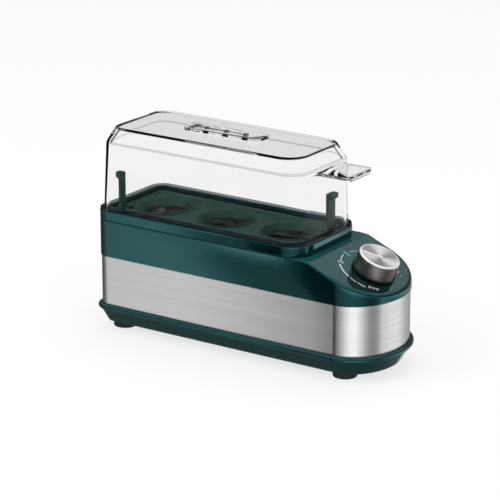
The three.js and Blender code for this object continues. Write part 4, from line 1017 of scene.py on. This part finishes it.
# The chamfer and the side get lit and shaded copies of the cap's aluminium: a painted highlight and a
# painted dark reflection.
cap.data.materials.append(polished_aluminium_painted_highlight)
cap.data.materials.append(turned_aluminium_painted_shade)
into_deck = deck_frame.inverted()
for face in cap.data.polygons:
    centre = into_deck @ face.center
    radius = Vector(centre[:2]).length
    if centre.z < 11.05 * MM and radius > 12.5 * MM:
        face.material_index = 2
    elif centre.z > 11 * MM and radius > (cap_rim - 0.33) * MM:
        face.material_index = 1
stations = [-2.0, 0.0, 4.0, 8.0, 11.9]
section = [(r, dish_height(r) - pointer_sink) for r in stations]
section += [(r, dish_height(r) + pointer_rise) for r in reversed(stations)]
standing = Matrix(((1, 0, 0, 0), (0, 0, -1, 0), (0, 1, 0, 0), (0, 0, 0, 1)))
pointer = slab("pointer", section, -pointer_half, pointer_half, 0.12)
moved(pointer, deck_frame @ (Matrix.Rotation(pointer_azimuth, 4, "Z") @ standing))
dressed(pointer, white_plastic, "knob", ["knob_pointer"])


# Egg tray: one moulding in matt dark green plastic that lies inside the collar, with three funnel
# seats. Each end has a vapour slot and a hooked handle, one near and one far of the middle.
tray_inset = 7.9
tray_bottom = 76.7
tray_top = 78.3
tray_rim = tray_top + 1.2
seat_pitch = 48.2
seat_first = collar_middle - seat_pitch
handle_top = 103.5
handle_wall = 2.2
handle_corner = 0.7
handle_sink = 0.8
handle_spread = 8
flare_height = 6
hook_reach = 2.3
hook_depth = 3.2

tray_plastic = surface("tray_plastic", {"Specular IOR Level": 0.15}, mottled(
    (0.0075, 0.034, 0.024), (0.0115, 0.047, 0.034), least=0.3, added=0.12, noise=(40,),
    bump=(0.06, 0.0002), fine=(1400, 2)))
tray = skinned("tray", [ring(collar_half(inset), z) for inset, z in softened([
    (10.0, tray_bottom), (tray_inset, tray_bottom), (tray_inset, tray_rim),
    (tray_inset + 1.4, tray_rim), (tray_inset + 2.1, tray_top), (11.5, tray_top),
], 0.4)])
way = rod("way", 18.5, tray_bottom - 1, tray_top + 1, 96)
seat_way = repeated("seat_way", way, (seat_first, 0, 0), 3, seat_pitch)
seat_loop = softened([
    (15.4, 73.5), (16.7, 73.5, 0.4), (19.0, 76.7, 0.5), (19.0, 79.1, 0.35), (18.0, 79.1, 0.35),
    (15.4, 74.8, 0.5),
], 0.3, closed=True)
seat = turned("seat", seat_loop + seat_loop[:1], 96)
seats = repeated("seats", seat, (seat_first, 0, 0), 3, seat_pitch)
half_round = at(collar_middle, 0, 0) @ Matrix.Rotation(pi, 4, "Z") @ at(-collar_middle, 0, 0)


def vapour_slot():
    outline = arc(0, 0, 23.5, 204, 226, 12) + arc(0, 0, 20.5, 226, 204, 12)
    return moved(slab("vapour_slot", outline, tray_bottom - 1, tray_top + 1), at(seat_first, 0, 0))


def bend(start, corner, end, steps=10):
    """A smooth turn from one point to another, round a corner."""
    return [tuple((1 - t) ** 2 * s + 2 * t * (1 - t) * c + t * t * e for s, c, e in zip(start, corner, end))
            for t in (k / steps for k in range(steps + 1))]


def tray_handle(y, handle_half):
    """A stem with a foot that spreads along the tray's end, and a hook that points outwards."""
    foot = tray_top - handle_sink
    knee = tray_top + handle_corner
    flare_top = tray_top + flare_height
    shoulder = handle_top - handle_corner
    a, b, tip_edge = handle_half, handle_half + handle_spread, handle_half - handle_corner
    outline = [(-b, foot), (b, foot), *bend((b, knee), (a, knee), (a, flare_top)),
               *bend((a, shoulder), (a, handle_top), (tip_edge, handle_top), 5),
               *bend((-tip_edge, handle_top), (-a, handle_top), (-a, shoulder), 5),
               *bend((-a, flare_top), (-a, knee), (-b, knee))]
    outer_x = left_end + tray_inset + 2.0
    to_end = Matrix(((0, 0, 1, 0), (1, 0, 0, 0), (0, 1, 0, 0), (0, 0, 0, 1)))
    stem = moved(slab("handle", outline, 0, handle_wall, 0.3), at(outer_x, y, 0) @ to_end)
    hook = [(outer_x + 1.1, handle_top), (outer_x - hook_reach, handle_top),
            (outer_x - hook_reach, handle_top - hook_depth),
            (outer_x + 1.1, handle_top - hook_depth - hook_reach)]
    tip = moved(slab("hook", hook, 0.2 - a, a - 0.2, 0.3), at(0, y, 0) @ standing)
    return worked(stem, "UNION", [tip])


room = worked(
    skinned("room", [ring(collar_half(tray_inset), z) for z in (tray_bottom, tray_top + 6)]), "UNION",
    [skinned("room_above", [ring(collar_half(5.1), z) for z in (tray_top + 5.9, handle_top + 1)])])
left_handle = tray_handle(-19.5, 2.6)
right_handle = moved(tray_handle(-15.5, 4.0), half_round)
handles = worked(worked(left_handle, "UNION", [right_handle]), "INTERSECT", [room])
worked(tray, "DIFFERENCE", [seat_way, vapour_slot(), moved(vapour_slot(), half_round)])
worked(tray, "UNION", [seats, handles])
dressed(tray, tray_plastic, "egg_tray", ["egg_tray"])


# Lid: one moulding in clear plastic with a flange, drafted walls, a bevelled crown, three steam
# holes in a raised panel and a finger tab over the deck. It only rests on the collar.
lid_bottom = 81.0
lid_shoulder = 125.2
lid_top = 135.1
lid_wall = 2.0
crown_left = 9
crown_right = 13
shoulder_inset = 3.7
panel_length = 58
panel_width = 16
panel_corner = 4
panel_wall = 1.6
tab_root = collar_end - shoulder_inset - lid_wall / 2
tab_end = collar_end - shoulder_inset + 24.8
tab_half = 14.75
tab_fillet = 6
tab_corner = 4
hole_radius = 2.1
hole_pitch = 15


def lid_half(inset, z):
    """The lid's outline changes from the collar's to the crown's on its way up the wall."""
    share = min(max((z - lid_bottom) / (lid_shoulder - lid_bottom), 0), 1)
    side = inset - half_width
    left, right = left_end + inset + crown_left, collar_end - inset - crown_right
    crown = [*arc(left, side + crown_left, crown_left, 180, 270, 12),
             *arc(right, side + crown_right, crown_right, -90, 0, 14)]
    return [(x + (u - x) * share, y + (v - y) * share) for (x, y), (u, v) in zip(collar_half(inset), crown)]


def clear_moulding(name, lightest, painted_edge_colour):
    """Thin clear plastic with a trace of haze. Dark lines are painted along its bends and edges and towards
    its outline, as painted shade where they would turn light away. Its shadow is light.
    """
    material, finish = painted(name)
    place = finish.node("ShaderNodeTexCoord", output="Object")
    along = finish.node("ShaderNodeSeparateXYZ", sockets={0: place})
    x, y, z = [along.output(axis) for axis in "XYZ"]

    def between(measure, low, high, blur):
        rise, fall = [finish.share(measure, start * MM, (start + blur) * MM) for start in (low - blur, high)]
        return rise - fall

    # Masks for the dark lines painted along the shoulder, the crown's rim, the flange, the panel's end and
    # the tab: painted shade.
    on_walls = between(x, left_end - 5, tab_root + 0.9, 0.2)
    panel_x, panel_y = panel_length / 2 + 2, panel_width / 2 + 2
    in_panel = (between(x, collar_middle - panel_x, collar_middle + panel_x, 0.2)
                * between(y, -panel_y, panel_y, 0.2))
    within_tab = between(y, 0.7 - tab_half, tab_half - 0.7, 0.3)
    shoulder = between(z, lid_shoulder - 0.35, lid_shoulder + 0.3, 0.25) * on_walls * 0.45
    crown_rim = between(z, lid_top - 0.7, lid_top - 0.14, 0.1) * on_walls * (1 - in_panel) * 0.95
    flange = between(z, lid_bottom - 1, 82.3, 0.3) * 0.9
    panel_end = (between(z, lid_top + 0.1, lid_top + 2.2, 0.1)
                 * between(x, left_end, collar_middle - 28.2, 0.4) * 0.95)
    tab_sides = between(x, tab_root + 8, tab_end + 2, 0.5) * (1 - within_tab) * 0.6
    tab_tip = (1 - on_walls) * between(x, tab_end - 2.0, tab_end + 2, 0.3) * 0.3
    # Towards the outline the colour darkens too: a painted dark rim.
    steepness = finish.node("ShaderNodeLayerWeight", sockets={"Blend": 0.5}, output="Facing")
    dark = steepness.worked_out("POWER", steepness, 9.0)
    for line in (shoulder, crown_rim, flange, panel_end, tab_sides, tab_tip):
        dark = dark.worked_out("MAXIMUM", dark, line)
    haze = speckle(finish, place, 60.0, 4.0)
    shader = finish.node("ShaderNodeBsdfPrincipled", sockets={
        "Base Color": tinted(finish, dark, lightest, painted_edge_colour),
        "Roughness": haze * 0.01,
        "Transmission Weight": 1.0,
        "IOR": 1.13,
    })
    through = finish.rays("Shadow", "Diffuse")
    passed = finish.node("ShaderNodeBsdfTransparent", sockets={"Color": (0.94, 0.945, 0.945, 1)})
    mix = finish.node("ShaderNodeMixShader", sockets={0: through, 1: shader, 2: passed})
    finish.node("ShaderNodeOutputMaterial", sockets={"Surface": mix})
    return material


clear_plastic = clear_moulding("clear_plastic", (0.945, 0.945, 0.95), (0.04, 0.045, 0.045))
hole_walls_painted_dark = clear_moulding("hole_walls_painted_dark", (0.02, 0.02, 0.022), (0.01, 0.01, 0.01))
lid_profile = softened([
    (13.5, 132.9), (9.9, 132.9, 0.8), (5.7, lid_shoulder - 1, 0.9), (4.8, 82.9, 0.4), (4.8, lid_bottom, 0.2),
    (0.3, lid_bottom, 0.35), (0.3, 82.2, 0.45), (2.8, 82.2), (shoulder_inset, lid_shoulder, 1.1),
    (7.9, 134.5), (9.1, lid_top, 0.6), (13.0, lid_top),
], 0.5, 5)
lid = skinned("lid", [ring(lid_half(inset, z), z) for inset, z in lid_profile])
panel_outline = rounded_rectangle(panel_length, panel_width, panel_corner)
panel = slab("panel", panel_outline, lid_top - 1.1, lid_top + 1.9, 0.5)
fillet = [(tab_root + 1 + tab_fillet - tab_fillet * sin(t), tab_half + tab_fillet - tab_fillet * cos(t))
          for t in (pi / 2 * k / 8 for k in range(9))]
tab_outline = [
    *arc(tab_end - tab_corner, tab_corner - tab_half, tab_corner, -90, 0, 8),
    *arc(tab_end - tab_corner, tab_half - tab_corner, tab_corner, 0, 90, 8), *fillet,
    (tab_root, tab_half + tab_fillet), (tab_root, -tab_half - tab_fillet),
    *[(x, -y) for x, y in reversed(fillet)],
]
tab = slab("tab", tab_outline, lid_shoulder - 2.1, lid_shoulder - 0.1, 0.45)
tab_lip = slab("tab_lip", rounded_rectangle(1.8, 21.5, 0.6), lid_shoulder - 3.3, lid_shoulder - 0.7, 0.3)
moved(panel, at(collar_middle, 0, 0))
moved(tab_lip, at(tab_end - 0.95, 0, 0))
worked(lid, "UNION", [panel, tab, tab_lip])
recess_outline = rounded_rectangle(
    panel_length - 2 * panel_wall, panel_width - 2 * panel_wall, panel_corner - panel_wall)
recess = slab("recess", recess_outline, 131.9, 134.8)
hole = rod("steam_hole", hole_radius, 131, 138, 40)
steam_holes = repeated("steam_holes", hole, (collar_middle - hole_pitch, 0, 0), 3, hole_pitch)
worked(lid, "DIFFERENCE", [moved(recess, at(collar_middle, 0, 0)), steam_holes])
dressed(lid, clear_plastic, "lid", ["lid_shell"])
# The walls of the steam holes get a dark copy of the clear plastic: painted shade in the holes.
lid.data.materials.append(hole_walls_painted_dark)
for face in lid.data.polygons:
    across = abs((face.center.x / MM - collar_middle + 1.5 * hole_pitch) % hole_pitch - hole_pitch / 2)
    in_hole = (across ** 2 + (face.center.y / MM) ** 2) ** 0.5 < hole_radius + 0.3
    if in_hole and face.center.z > 131 * MM and abs(face.normal.z) < 0.8:
        face.material_index = 1
